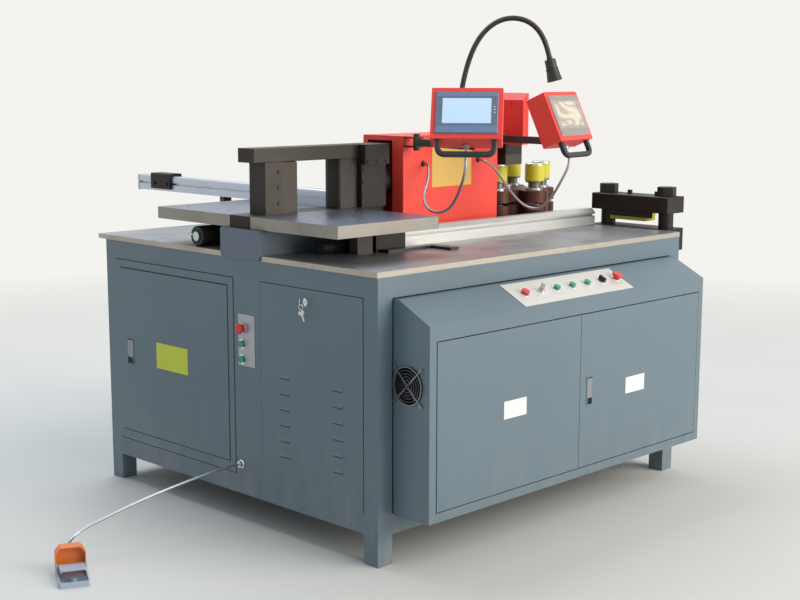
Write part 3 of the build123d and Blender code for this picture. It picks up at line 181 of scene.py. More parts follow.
# Every place below is in the cabinet's own millimetres: X from its left face, Y from its front
# face, Z from the floor. The row's origin is under the middle of the front left foot, which
# stands half a leg in from both faces.
half_leg = 29.0


def at(x, y, z):
    """A point in the cabinet's millimetres as metres in the row frame."""
    return Vector(((x - half_leg) / 1000, (y - half_leg) / 1000, z / 1000))


def shade(red, green, blue):
    """A screen colour, 0 to 255, as the linear colour that a shader takes."""
    lin = [v / 255 / 12.92 if v <= 10.31 else ((v / 255 + 0.055) / 1.055) ** 2.4
           for v in (red, green, blue)]
    return (*lin, 1)


# Camera, fitted to the cabinet's edges in the photograph

photo_width = 800
focal_pixels = 1382.64
shift_pixels = 13.49
sensor_width = 36
camera_place = (-2673.6, -2747.5, 1404.0)
camera_turns = (44.847, 9.657, 0.115)


def make_camera():
    """The photograph's camera; its turns are the yaw, the pitch down and the roll, in degrees."""
    yaw, pitch, roll = (radians(turn) for turn in camera_turns)
    ahead = Vector((cos(yaw) * cos(pitch), sin(yaw) * cos(pitch), -sin(pitch)))
    level = Vector((sin(yaw), -cos(yaw), 0))
    above = level.cross(ahead)
    right = level * cos(roll) + above * sin(roll)
    up = above * cos(roll) - level * sin(roll)
    eye = bpy.data.cameras.new("eye")
    eye.sensor_width = sensor_width
    eye.lens = focal_pixels / photo_width * sensor_width
    eye.shift_y = shift_pixels / photo_width
    eye.clip_end = 60
    camera = bpy.data.objects.new("camera", eye)
    turn = Matrix((right, up, -ahead)).transposed().to_4x4()
    camera.matrix_world = Matrix.Translation(at(*camera_place)) @ turn
    bpy.context.scene.collection.objects.link(camera)
    bpy.context.scene.camera = camera


make_camera()


# Cords: each route's control points in order. The two panel conduits follow the photograph a
# little closer than their nodes do. The ribs are in metres, like the finished hoses.

rib_pitch = 0.0032
rib_groove = 0.0007
conduit_radius = 4.75
pedal_conduit_radius = 4.5
first_run = 22.0
conduit_mouths = ((714, 512, 1119), (993, 512, 1122))
left_route = [(695, 468, 1106), (676, 451, 1083), (659, 443, 1057), (640, 436, 1031),
              (623, 421, 1007), (609, 395, 987), (598, 358, 974), (590, 318, 973), (584, 280, 985),
              (575, 246, 1008), (564, 216, 1038), (551, 190, 1068), (541, 170, 1097),
              (537, 159, 1127)]
right_route = [(998, 456, 1107), (1005, 433, 1082), (1011, 413, 1056), (1014, 391, 1027),
               (1017, 363, 1000), (1019, 333, 977), (1020, 298, 964), (1021, 262, 963),
               (1019, 230, 978), (1017, 199, 1006), (1016, 173, 1041), (1019, 152, 1077),
               (1025, 137, 1110)]
pedal_route = [(-600, 677, 66), (-575, 686, 76), (-543, 684, 89), (-497, 674, 104),
               (-425, 660, 126), (-337, 646, 149), (-245, 635, 167), (-160, 626, 181),
               (-95, 620, 189), (-50, 618, 191), (-16, 618, 191)]
lamp_foot = (997.0, 609.0, 1214.0)
lamp_turn = radians(-45.2)
lamp_route = [(0, 0), (0, 70), (8, 150), (24, 225), (46, 290), (76, 342), (115, 379), (158, 398),
              (203, 400), (244, 387), (277, 360), (300, 321), (314, 278), (319, 257)]
pedal_spot = (-671.0, 556.0)
pedal_turn = radians(-27.2)
panel_centres = ((551.0, 169.0, 1298.0), (1030.0, 144.0, 1282.0))
panel_yaws = (218.9, 279.8)
panel_tilts = (26.9, 24.2)
panel_size = (224.0, 172.0, 72.0)


def panel_axes(number):
    """Across, up and out of an operator panel's front, with its middle."""
    yaw, tilt = radians(panel_yaws[number]), radians(panel_tilts[number])
    out = Vector((cos(yaw) * cos(tilt), sin(yaw) * cos(tilt), sin(tilt)))
    across = Vector((-sin(yaw), cos(yaw), 0))
    return Vector(panel_centres[number]), across, out.cross(across), out


def gland_point(number, distance):
    """A point under a panel's cable gland."""
    middle, across, up, out = panel_axes(number)
    return middle - up * (panel_size[1] / 2 + distance) - out * (panel_size[2] / 2 + 14)


def pedal_point(along, height):
    """A point on the pedal's centre line."""
    return Vector((pedal_spot[0] - along * sin(pedal_turn), pedal_spot[1] + along * cos(pedal_turn),
                   height))


def spline_of(points):
    """A curve object with one smooth spline through the route's control points."""
    curve = bpy.data.curves.new("route", "CURVE")
    curve.dimensions = "3D"
    spline = curve.splines.new("NURBS")
    spline.points.add(len(points) - 1)
    for knot, point in zip(spline.points, points):
        knot.co = (*at(*point), 1)
    spline.order_u = 3
    spline.use_endpoint_u = True
    spline.resolution_u = 12
    return bpy.data.objects.new("route", curve)


def line_of(route):
    """Points along a route's spline, as Blender draws it without a bevel; the route is removed."""
    bpy.context.scene.collection.objects.link(route)
    bpy.context.view_layer.update()
    mesh = bpy.data.meshes.new_from_object(route)
    points = [v.co.copy() for v in mesh.vertices]
    bpy.data.meshes.remove(mesh)
    bpy.data.objects.remove(route)
    return points


def spaced(points, pitch):
    """Points at an even pitch along a polyline, both ends kept."""
    steps = [(b - a).length for a, b in zip(points, points[1:])]
    total = sum(steps)
    count = max(2, round(total / pitch))
    result = []
    index, walked = 0, 0.0
    for number in range(count + 1):
        goal = total * number / count
        while index < len(steps) - 1 and walked + steps[index] < goal:
            walked += steps[index]
            index += 1
        share = min(1.0, (goal - walked) / steps[index])
        result.append(points[index].lerp(points[index + 1], share))
    return result, total


def finished(name, mesh, smooth=False, angle=None):
    """The bmesh as an object of that name, its faces pointing outwards."""
    bmesh.ops.remove_doubles(mesh, verts=mesh.verts, dist=1e-6)
    bmesh.ops.recalc_face_normals(mesh, faces=mesh.faces)
    data = bpy.data.meshes.new(name)
    mesh.to_mesh(data)
    mesh.free()
    if smooth:
        data.shade_smooth()
        if angle:
            data.set_sharp_from_angle(angle=radians(angle))
    thing = bpy.data.objects.new(name, data)
    bpy.context.scene.collection.objects.link(thing)
    return thing


def frame_at(middle, ahead, side):
    """A matrix at a point in metres, with Z ahead and X to the side."""
    ahead = ahead.normalized()
    side = (side - ahead * side.dot(ahead)).normalized()
    turn = Matrix((side, ahead.cross(side), ahead)).transposed().to_4x4()
    return Matrix.Translation(middle) @ turn


def ribbed_hose(name, points, radius, pitch, groove, sides=12):
    """A tube of round ribs along a line of points, extruded ring by ring."""
    middles, length = spaced(points, pitch / 2)
    tube = bmesh.new()
    side = (middles[1] - middles[0]).orthogonal()
    places = []
    for number, middle in enumerate(middles):
        ahead = middles[min(len(middles) - 1, number + 1)] - middles[max(0, number - 1)]
        place = frame_at(middle, ahead, side)
        side = place.col[0].to_3d()
        places.append(place @ Matrix.Diagonal([radius - groove * (number % 2)] * 3 + [1]))
    bmesh.ops.create_circle(tube, segments=sides, radius=1, cap_ends=True, matrix=places[0])
    edges = list(tube.edges)
    for before, after in zip(places, places[1:]):
        grown = bmesh.ops.extrude_edge_only(tube, edges=edges)["geom"]
        corners = [g for g in grown if isinstance(g, bmesh.types.BMVert)]
        edges = [g for g in grown if isinstance(g, bmesh.types.BMEdge)]
        bmesh.ops.transform(tube, verts=corners, matrix=after @ before.inverted())
    bmesh.ops.contextual_create(tube, geom=edges)
    hose = finished(name, tube, smooth=True)
    return hose, length


# Materials

def feed(tree, socket, value):
    """Gives an input its value, which is another node's output or a plain number or colour."""
    if hasattr(value, "links"):
        tree.links.new(value, socket)
    else:
        socket.default_value = value


def linked(tree, kind, **settings):
    """A new shader node with its settings and unlinked inputs given by name."""
    node = tree.nodes.new(kind)
    for key, value in settings.items():
        if hasattr(node, key):
            setattr(node, key, value)
        else:
            node.inputs[key.replace("_", " ")].default_value = value
    return node


def new_group(name, inputs, outputs):
    """A shader node group with float and colour sockets."""
    tree = bpy.data.node_groups.new(name, "ShaderNodeTree")
    kinds = {"c": "NodeSocketColor", "f": "NodeSocketFloat"}
    for label, kind, value in inputs:
        socket = tree.interface.new_socket(label, in_out="INPUT", socket_type=kinds[kind])
        socket.default_value = value
    for label, kind in outputs:
        tree.interface.new_socket(label, in_out="OUTPUT", socket_type=kinds[kind])
    return tree, tree.nodes.new("NodeGroupInput"), tree.nodes.new("NodeGroupOutput")


def noise(tree, vector, scale, detail=3.0, rough=0.5):
    """The value of a noise texture over the vector."""
    node = linked(tree, "ShaderNodeTexNoise", Detail=detail, Roughness=rough)
    tree.links.new(vector, node.inputs["Vector"])
    feed(tree, node.inputs["Scale"], scale)
    return node.outputs["Fac"]


def spread(tree, value, low, high, to_low=0.0, to_high=1.0):
    """The value with the range from low to high spread over another range, and held inside it."""
    node = linked(tree, "ShaderNodeMapRange")
    tree.links.new(value, node.inputs["Value"])
    for label, number in (("From Min", low), ("From Max", high), ("To Min", to_low),
                          ("To Max", to_high)):
        feed(tree, node.inputs[label], number)
    return node.outputs["Result"]


def mixed(tree, share, first, second, kind="MIX"):
    """Two colours mixed by a share; the numbers are the colour sockets of the mix node."""
    node = tree.nodes.new("ShaderNodeMix")
    node.data_type = "RGBA"
    node.blend_type = kind
    for socket, value in ((0, share), (6, first), (7, second)):
        feed(tree, node.inputs[socket], value)
    return node.outputs[2]


def math(tree, operation, first, second=0.0):
    """The result of one operation on one or two values."""
    node = tree.nodes.new("ShaderNodeMath")
    node.operation = operation
    for socket, value in ((0, first), (1, second)):
        feed(tree, node.inputs[socket], value)
    return node.outputs[0]


def stretched(tree, vector, scale):
    """The vector scaled along each axis."""
    node = tree.nodes.new("ShaderNodeMapping")
    tree.links.new(vector, node.inputs["Vector"])
    node.inputs["Scale"].default_value = scale
    return node.outputs["Vector"]


def coat_group():
    """Sprayed coat: slow drift of shade, a little dust near the floor, fine orange peel."""
    tree, start, end = new_group("sprayed_coat", [
        ("Colour", "c", (0.1, 0.1, 0.1, 1)), ("Drift", "f", 0.1), ("Roughness", "f", 0.4),
        ("Dust", "f", 0.1)],
        [("Colour", "c"), ("Roughness", "f"), ("Height", "f")])
    place = tree.nodes.new("ShaderNodeTexCoord").outputs["Object"]
    slow = noise(tree, place, 1.7, 4)
    spots = noise(tree, stretched(tree, place, (6, 6, 2.2)), 3.0, 6, 0.6)
    darker = mixed(tree, 1.0, start.outputs["Colour"], (0.80, 0.82, 0.84, 1), "MULTIPLY")
    drift = math(tree, "MULTIPLY", spread(tree, slow, 0.35, 0.7), start.outputs["Drift"])
    tone = mixed(tree, drift, start.outputs["Colour"], darker)
    split = tree.nodes.new("ShaderNodeSeparateXYZ")
    tree.links.new(place, split.inputs[0])
    low = spread(tree, split.outputs["Z"], 0.42, 0.0)
    dust = math(tree, "MULTIPLY", math(tree, "MULTIPLY", low, spread(tree, spots, 0.35, 0.75)),
                start.outputs["Dust"])
    tree.links.new(mixed(tree, dust, tone, shade(176, 172, 162)), end.inputs["Colour"])
    rough = math(tree, "ADD", start.outputs["Roughness"],
                 spread(tree, spots, 0.3, 0.7, -0.05, 0.06))
    tree.links.new(rough, end.inputs["Roughness"])
    tree.links.new(noise(tree, place, 620, 2), end.inputs["Height"])
    return tree


def metal_group():
    """Bare or blackened metal: machining streaks along the stretch, stains and a fine grain."""
    tree, start, end = new_group("worked_metal", [
        ("Colour", "c", (0.5, 0.5, 0.5, 1)), ("Stain", "c", (0.3, 0.2, 0.15, 1)),
        ("Streaks", "f", 0.3), ("Stains", "f", 0.2), ("Roughness", "f", 0.3)],
        [("Colour", "c"), ("Roughness", "f"), ("Height", "f")])
    place = tree.nodes.new("ShaderNodeTexCoord").outputs["Object"]
    lines = noise(tree, stretched(tree, place, (1.5, 160, 160)), 4.0, 3, 0.7)
    cloud = noise(tree, place, 5.5, 6, 0.65)
    grain = noise(tree, place, 240, 3)
    dark = mixed(tree, 1.0, start.outputs["Colour"], (0.62, 0.62, 0.62, 1), "MULTIPLY")
    streaks = math(tree, "MULTIPLY", spread(tree, lines, 0.35, 0.65), start.outputs["Streaks"])
    tone = mixed(tree, streaks, start.outputs["Colour"], dark)
    stains = math(tree, "MULTIPLY", spread(tree, cloud, 0.5, 0.78), start.outputs["Stains"])
    tree.links.new(mixed(tree, stains, tone, start.outputs["Stain"]), end.inputs["Colour"])
    rough = math(tree, "ADD", start.outputs["Roughness"],
                 math(tree, "ADD", spread(tree, lines, 0.3, 0.7, -0.05, 0.07),
                      spread(tree, cloud, 0.4, 0.8, 0.0, 0.14)))
    tree.links.new(rough, end.inputs["Roughness"])
    height = math(tree, "ADD", lines, math(tree, "MULTIPLY", grain, 0.6))
    tree.links.new(height, end.inputs["Height"])
    return tree


def moulded_group():
    """Moulded plastic, rubber or cast urethane: fine texture and finger marks."""
    tree, start, end = new_group("moulded_skin", [
        ("Colour", "c", (0.1, 0.1, 0.1, 1)), ("Marks", "f", 0.2), ("Roughness", "f", 0.4),
        ("Grain", "f", 900.0)],
        [("Colour", "c"), ("Roughness", "f"), ("Height", "f")])
    place = tree.nodes.new("ShaderNodeTexCoord").outputs["Object"]
    cloud = noise(tree, place, 22, 5, 0.6)
    pale = mixed(tree, 0.16, start.outputs["Colour"], shade(150, 146, 138))
    marks = math(tree, "MULTIPLY", spread(tree, cloud, 0.45, 0.75), start.outputs["Marks"])
    tree.links.new(mixed(tree, marks, start.outputs["Colour"], pale), end.inputs["Colour"])
    rough = math(tree, "ADD", start.outputs["Roughness"],
                 spread(tree, cloud, 0.3, 0.7, -0.06, 0.08))
    tree.links.new(rough, end.inputs["Roughness"])
    tree.links.new(noise(tree, place, start.outputs["Grain"], 2), end.inputs["Height"])
    return tree


groups = {"coat": coat_group(), "metal": metal_group(), "moulded": moulded_group()}
bump_depth = 0.0004


def material(name, effect, colour, metallic=0.0, bump=0.1, coat=0.0, glow=0.0, shine=0.5,
             **values):
    """A material whose colour, roughness and height come from one of the shared effects."""
    made = bpy.data.materials.new(name)
    made.use_nodes = True
    tree = made.node_tree
    shader = tree.nodes["Principled BSDF"]
    group = tree.nodes.new("ShaderNodeGroup")
    group.node_tree = groups[effect]
    group.inputs["Colour"].default_value = colour
    for label, value in values.items():
        group.inputs[label].default_value = value
    tree.links.new(group.outputs["Colour"], shader.inputs["Base Color"])
    tree.links.new(group.outputs["Roughness"], shader.inputs["Roughness"])
    hills = tree.nodes.new("ShaderNodeBump")
    hills.inputs["Strength"].default_value = bump
    hills.inputs["Distance"].default_value = bump_depth
    tree.links.new(group.outputs["Height"], hills.inputs["Height"])
    tree.links.new(hills.outputs["Normal"], shader.inputs["Normal"])
    shader.inputs["Metallic"].default_value = metallic
    shader.inputs["Coat Weight"].default_value = coat
    shader.inputs["Specular IOR Level"].default_value = shine
    if glow:
        tree.links.new(group.outputs["Colour"], shader.inputs["Emission Color"])
        shader.inputs["Emission Strength"].default_value = glow
    made.diffuse_color = colour
    return made


slate = material("slate_coat", "coat", shade(101, 119, 129), Drift=0.5, Roughness=0.36, Dust=0.35,
                 bump=0.12)
slate_box = material("slate_box_coat", "coat", shade(104, 122, 132), Drift=0.4, Roughness=0.36,
                     Dust=0.2, bump=0.12)
bed_coat = material("grey_bed_coat", "coat", shade(100, 113, 128), Drift=0.4, Roughness=0.4,
                    Dust=0.0, bump=0.15)
red = material("red_enamel", "coat", shade(255, 76, 60), Drift=0.1, Roughness=0.46, Dust=0.0,
               bump=0.08, shine=0.45)
panel_red = material("panel_red_enamel", "coat", shade(255, 78, 68), Drift=0.08, Roughness=0.46,
                     Dust=0.0, bump=0.06, shine=0.45)
hood_red = material("hood_red_enamel", "coat", shade(255, 50, 36), Drift=0.08, Roughness=0.46,
                    Dust=0.0, bump=0.06, shine=0.45)
black_paint = material("black_paint", "coat", shade(30, 31, 34), Drift=0.4, Roughness=0.35,
                       Dust=0.0, bump=0.1)
table_steel = material("table_steel", "metal", shade(152, 155, 160), metallic=0.8,
                       Stain=shade(70, 62, 58), Streaks=0.3, Stains=0.75, Roughness=0.38, bump=0.12)
ground_edge = material("ground_edge", "metal", shade(182, 174, 162), metallic=0.6,
                       Stain=shade(134, 114, 92), Streaks=0.35, Stains=0.5, Roughness=0.34,
                       bump=0.15)
ground_steel = material("ground_steel", "metal", shade(118, 127, 145), metallic=0.85,
                        Stain=shade(88, 90, 98), Streaks=0.35, Stains=0.35, Roughness=0.3,
                        bump=0.14)
black_oxide = material("black_oxide", "metal", shade(46, 44, 43), metallic=0.75,
                       Stain=shade(78, 70, 62), Streaks=0.25, Stains=0.5, Roughness=0.42, bump=0.15)
taupe_steel = material("taupe_steel", "metal", shade(66, 61, 55), metallic=0.5,
                       Stain=shade(50, 45, 40), Streaks=0.4, Stains=0.4, Roughness=0.4, bump=0.15)
block_steel = material("block_steel", "metal", shade(62, 57, 51), metallic=0.35,
                       Stain=shade(58, 53, 47), Streaks=0.3, Stains=0.3, Roughness=0.46, bump=0.15)
dark_block = material("dark_block_steel", "metal", shade(40, 33, 29), metallic=0.3,
                      Stain=shade(38, 32, 29), Streaks=0.3, Stains=0.4, Roughness=0.46, bump=0.15)
guide_steel = material("guide_steel", "metal", shade(122, 114, 110), metallic=0.9,
                       Stain=shade(60, 52, 48), Streaks=0.4, Stains=0.6, Roughness=0.3, bump=0.1)
dark_brown = material("brown_oxide", "metal", shade(86, 52, 42), metallic=0.5,
                      Stain=shade(52, 36, 31), Streaks=0.2, Stains=0.7, Roughness=0.42, bump=0.15)
bright = material("bright_steel", "metal", shade(200, 200, 198), metallic=1.0,
                  Stain=shade(150, 145, 138), Streaks=0.3, Stains=0.2, Roughness=0.2, bump=0.08)
chrome = material("chrome", "metal", shade(225, 226, 228), metallic=1.0,
                  Stain=shade(190, 190, 190), Streaks=0.1, Stains=0.1, Roughness=0.1, bump=0.03)
aluminium = material("anodised_aluminium", "metal", shade(206, 207, 205), metallic=0.6,
                     Stain=shade(180, 176, 168), Streaks=0.3, Stains=0.25, Roughness=0.36,
                     bump=0.12)
rail_aluminium = material("rail_aluminium", "metal", shade(190, 198, 212), metallic=0.8,
                          Stain=shade(150, 156, 166), Streaks=0.3, Stains=0.2, Roughness=0.28,
                          bump=0.1)
conduit_steel = material("conduit_steel", "metal", shade(176, 178, 180), metallic=0.9,
                         Stain=shade(120, 118, 115), Streaks=0.2, Stains=0.3, Roughness=0.3,
                         bump=0.08)
silver_plate = material("silver_plate", "metal", shade(226, 224, 218), metallic=0.35,
                        Stain=shade(200, 196, 188), Streaks=0.2, Stains=0.2, Roughness=0.38,
                        bump=0.05)
satin_chrome = material("satin_chrome", "metal", shade(150, 152, 157), metallic=0.85,
                        Stain=shade(110, 110, 112), Streaks=0.2, Stains=0.2, Roughness=0.34,
                        bump=0.05)
wire_grey = material("wire_grey", "metal", shade(84, 84, 88), metallic=0.8,
                     Stain=shade(60, 60, 62), Streaks=0.2, Stains=0.2, Roughness=0.3, bump=0.05)
plate_edge = material("plate_edge", "metal", shade(148, 144, 137), metallic=0.6,
                      Stain=shade(112, 98, 82), Streaks=0.35, Stains=0.5, Roughness=0.36, bump=0.15)
grey_plate = material("grey_plate", "metal", shade(176, 179, 184), metallic=0.5,
                      Stain=shade(150, 150, 150), Streaks=0.2, Stains=0.2, Roughness=0.36,
                      bump=0.05)
urethane = material("yellow_urethane", "moulded", shade(214, 208, 44), Marks=0.5, Roughness=0.42,
                    bump=0.1, Grain=300.0)
green_plastic = material("green_plastic", "moulded", shade(18, 150, 110), Marks=0.3,
                         Roughness=0.25, bump=0.03, coat=0.3)
red_plastic = material("red_plastic", "moulded", shade(214, 34, 28), Marks=0.3, Roughness=0.25,
                       bump=0.03, coat=0.3)
black_plastic = material("black_plastic", "moulded", shade(26, 27, 30), Marks=0.5, Roughness=0.42,
                         bump=0.2)
rubber_black = material("black_rubber", "moulded", shade(20, 20, 21), Marks=0.4, Roughness=0.62,
                        bump=0.3)
handle_navy = material("handle_plastic", "moulded", shade(28, 32, 42), Marks=0.4, Roughness=0.32,
                       bump=0.1)
bezel_blue = material("bezel_blue_grey", "moulded", shade(108, 122, 144), Marks=0.3,
                      Roughness=0.34, bump=0.1)
bezel_grey = material("bezel_grey", "moulded", shade(166, 161, 156), Marks=0.3, Roughness=0.34,
                      bump=0.1)
strip_blue = material("bezel_strip_blue", "moulded", shade(116, 140, 178), Marks=0.3,
                      Roughness=0.28, bump=0.05)
strip_grey = material("bezel_strip_grey", "moulded", shade(150, 146, 142), Marks=0.3,
                      Roughness=0.28, bump=0.05)
lens_white = material("lamp_lens", "moulded", shade(228, 230, 226), Marks=0.2, Roughness=0.2,
                      bump=0.03, glow=0.2)
led_green = material("green_led", "moulded", shade(60, 226, 130), Marks=0.1, Roughness=0.2,
                     bump=0.02, glow=0.8)
orange = material("orange_plastic", "moulded", shade(232, 122, 52), Marks=0.5, Roughness=0.45,
                  bump=0.2)
treadle_grey = material("treadle_grey", "moulded", shade(170, 184, 200), Marks=0.5, Roughness=0.4,
                        bump=0.15)
relay_grey = material("relay_grey", "moulded", shade(190, 190, 184), Marks=0.4, Roughness=0.45,
                      bump=0.1)
yellow_plate = material("yellow_plate", "moulded", shade(212, 218, 52), Marks=0.3, Roughness=0.4,
                        bump=0.05)
amber_plate = material("amber_plate", "moulded", shade(240, 196, 96), Marks=0.6, Roughness=0.4,
                       bump=0.05)
white_card = material("white_card", "moulded", shade(236, 234, 230), Marks=0.2, Roughness=0.4,
                      bump=0.05)


def painted(name, *finishes, pick=None):
    """Gives a CAD node its materials; pick tells which one from a face's middle and normal."""
    thing = nodes[name]
    thing.data.materials.clear()
    for finish in finishes:
        thing.data.materials.append(finish)
    if pick:
        for face in thing.data.polygons:
            middle = face.center * 1000 + Vector((half_leg, half_leg, 0))
            face.material_index = pick(middle, face.normal)


# Finishes of the CAD nodes: each function below tells a face's place in its node's list

slope_run, slope_rise = 122, 62.4
slope_share = 0.52
control_slope = Vector((0, -slope_rise, slope_run)).normalized()
control_middle = Vector((777.5, -144 + slope_share * slope_run, 723.6 + slope_share * slope_rise))
control_half_length = 276
turret_middle = (1298, 649)
station_reach = 144
first_station = 210
lock_middle = (305, 749)
fan_middle = (-62.0, 543.0)


def box_faces(middle, normal):
    """Sheet of the electrical box, its control plate, and the bright collars on that plate."""
    height = (middle - control_middle).dot(control_slope)
    beside = abs(middle.x - control_middle.x) < control_half_length
    if height > 1.6 and beside:
        return 2
    if height > 0.3 and beside:
        return 1
    return 0


def table_faces(middle, normal):
    """Top of the table plate, its ground edges, and the blackened pedestal on it."""
    if middle.z > 867.5:
        return 2
    return 0 if normal.z > 0.5 else 1


def side_faces(middle, normal):
    """Sheet, the small control plate, and the bright collars and cable gland."""
    if middle.x < -1.7 or (middle.x < -0.2 and middle.z < 230):
        return 2
    return 1 if middle.x < -0.2 else 0


def vent_faces(middle, normal):
    """Painted sheet, and the bright rim of the cam lock."""
    reach = hypot(middle.y - lock_middle[0], middle.z - lock_middle[1])
    return 1 if middle.x < -0.5 and reach < 12.3 else 0


def bed_faces(middle, normal):
    """Coated bed, and the blackened rail on its top."""
    return 1 if middle.z > 944.5 else 0


def plate_faces(middle, normal):
    """Ground top of the two bending plates, and their edges."""
    return 0 if normal.z > 0.5 else 1


def block_faces(middle, normal):
    """Foot blocks, the tapped end block, the black bar, and the two rubber rollers."""
    if middle.x > 328 and middle.y < 328.5:
        return 2
    if middle.x > 312:
        return 1
    if 206 < middle.x and (middle.y < 445 or middle.y > 895):
        return 0
    return 3


def bending_frame_front_and_shaded_sides(middle, normal):
    """The closed frame's face towards the operator, and its other sides in darker steel as painted shade."""
    return 0 if normal.y < -0.5 else 1


def bending_ram_faces(middle, normal):
    """The sliding block, and the bright piston rod behind it."""
    return 1 if middle.x > 464.5 else 0


def cover_faces(middle, normal):
    """Red sheet, the arms' black brackets, and the rubber rings of the conduits' holes."""
    if middle.y < 511.6 and middle.z > 1160:
        return 1
    if middle.y < 512.9 and middle.z < 1140:
        return 2
    return 0 if 618 <= middle.x <= 1097 and middle.z > 860 else 1


def frame_faces(middle, normal):
    """Blackened head, arm and anvil, and the painted C frame below the table."""
    return 0 if middle.z > 860 else 1


def from_turret(middle):
    """A point's distance from the turret's axis."""
    return hypot(middle.x - turret_middle[0], middle.y - turret_middle[1])


def near_station(middle):
    """A point's distance from the axis of the nearest of the six stations."""
    angles = [radians(first_station + 60 * number) for number in range(6)]
    return min(hypot(middle.x - turret_middle[0] - station_reach * cos(angle),
                     middle.y - turret_middle[1] - station_reach * sin(angle)) for angle in angles)


def upper_disc_faces(middle, normal):
    """Blackened petal disc, bright guide rings, and the darker tops of the guides."""
    if middle.z > 1012:
        return 2
    guide = middle.z < 955.2 and from_turret(middle) > 112 and near_station(middle) < 26
    return 1 if middle.z > 999.5 or guide else 0


def lower_disc_faces(middle, normal):
    """Blackened petal disc, and its bright dies and shaft."""
    die = near_station(middle) < 27.5 and middle.z > 920
    return 1 if die or from_turret(middle) < 11 else 0


def panel_faces(number):
    """Case, bezel, screen bed, handle and gland of one operator panel."""
    heart, across, up, out = panel_axes(number)

    def pick(middle, normal):
        offset = middle - heart
        x, y, z = offset.dot(across), offset.dot(up), offset.dot(out)
        if y < -86.2:
            gland = abs(x) < 16 and z < -30 and y > -103
            return 3 if gland else 2
        if z > 0.15 or (z > -1 and abs(x) < 97.9 and abs(y) < 70.9):
            return 1
        return 0
    return pick


def beam_faces(middle, normal):
    """Blackened beam and bolts, and the yellow pad under it."""
    return 1 if middle.z < 925.5 and middle.x > 1529 else 0


def pedal_faces(middle, normal):
    """Tray, the orange hood over its rear, and the bright gland behind."""
    ahead = Vector((-sin(pedal_turn), cos(pedal_turn)))
    along = (Vector((middle.x, middle.y)) - Vector(pedal_spot)).dot(ahead)
    if along > 76.5:
        return 2
    return 1 if middle.z > 16.5 and along > 33 else 0


def guard_faces(middle, normal):
    """Bright crossed wires, feet and outer ring, and the darker inner rings."""
    beside, above = middle.y - fan_middle[0], middle.z - fan_middle[1]
    reach = hypot(beside, above)
    crossed = abs(abs(beside) - abs(above)) < 4.4
    return 1 if reach < 10 or (reach < 52 and not crossed) else 0


def gauge_faces(middle, normal):
    """Drawn rail and its end cap, and the black foot under it."""
    return 1 if middle.z < 982 else 0


for finish, names in (
        (slate, ("frame", "tool_compartment", "tool_door")),
        (slate_box, ("front_door_left", "front_door_right")),
        (taupe_steel, ("bending_punch", "punch_ram")),
        (dark_block, ("bending_cylinder",)),
        (black_oxide, ("gauge_carriage", "shear_base", "shear_columns")),
        (aluminium, ("fence",)),
        (hood_red, ("punch_cover",)),
        (urethane, ("punch_springs", "working_spring")),
        (bright, ("punches", "working_punch", "key_switch")),
        (chrome, ("vent_lock",)),
        (satin_chrome, ("tool_latch", "front_latch")),
        (black_paint, ("hydraulic_unit", "left_arm", "right_arm")),
        (relay_grey, ("switchgear",)),
        (black_plastic, ("fan_frame", "fan_rotor", "selector_knob")),
        (red_plastic, ("start_button", "front_stop", "side_stop")),
        (green_plastic, ("green_button_1", "green_button_2", "green_button_3", "side_button_1",
                         "side_button_2")),
        (treadle_grey, ("pedal_treadle",))):
    for name in names:
        painted(name, finish)
painted("side_panel", slate, grey_plate, chrome, pick=side_faces)
painted("vent_panel", slate, chrome, pick=vent_faces)
painted("electrical_box", slate_box, silver_plate, chrome, pick=box_faces)
painted("table_plate", table_steel, ground_edge, black_oxide, pick=table_faces)
painted("bending_bed", bed_coat, black_oxide, pick=bed_faces)
painted("support_plates", ground_steel, plate_edge, pick=plate_faces)
painted("table_blocks", taupe_steel, black_oxide, black_paint, rubber_black, pick=block_faces)
# The bending frame's sides get the darker steel as painted shade.
painted("bending_frame", block_steel, dark_block, pick=bending_frame_front_and_shaded_sides)
painted("bending_ram", block_steel, bright, pick=bending_ram_faces)
painted("bending_cover", red, black_paint, rubber_black, pick=cover_faces)
painted("gauge_rail", rail_aluminium, black_paint, pick=gauge_faces)
painted("punch_frame", black_oxide, slate, pick=frame_faces)
painted("turret_upper_disc", dark_brown, bright, guide_steel, pick=upper_disc_faces)
painted("turret_lower_disc", dark_brown, bright, pick=lower_disc_faces)
painted("shear_beam", black_oxide, urethane, pick=beam_faces)
painted("fan_guard", satin_chrome, wire_grey, pick=guard_faces)
painted("left_panel", panel_red, bezel_blue, handle_navy, bright, pick=panel_faces(0))
painted("right_panel", panel_red, bezel_grey, handle_navy, bright, pick=panel_faces(1))
painted("pedal_base", treadle_grey, orange, bright, pick=pedal_faces)


# Conduits

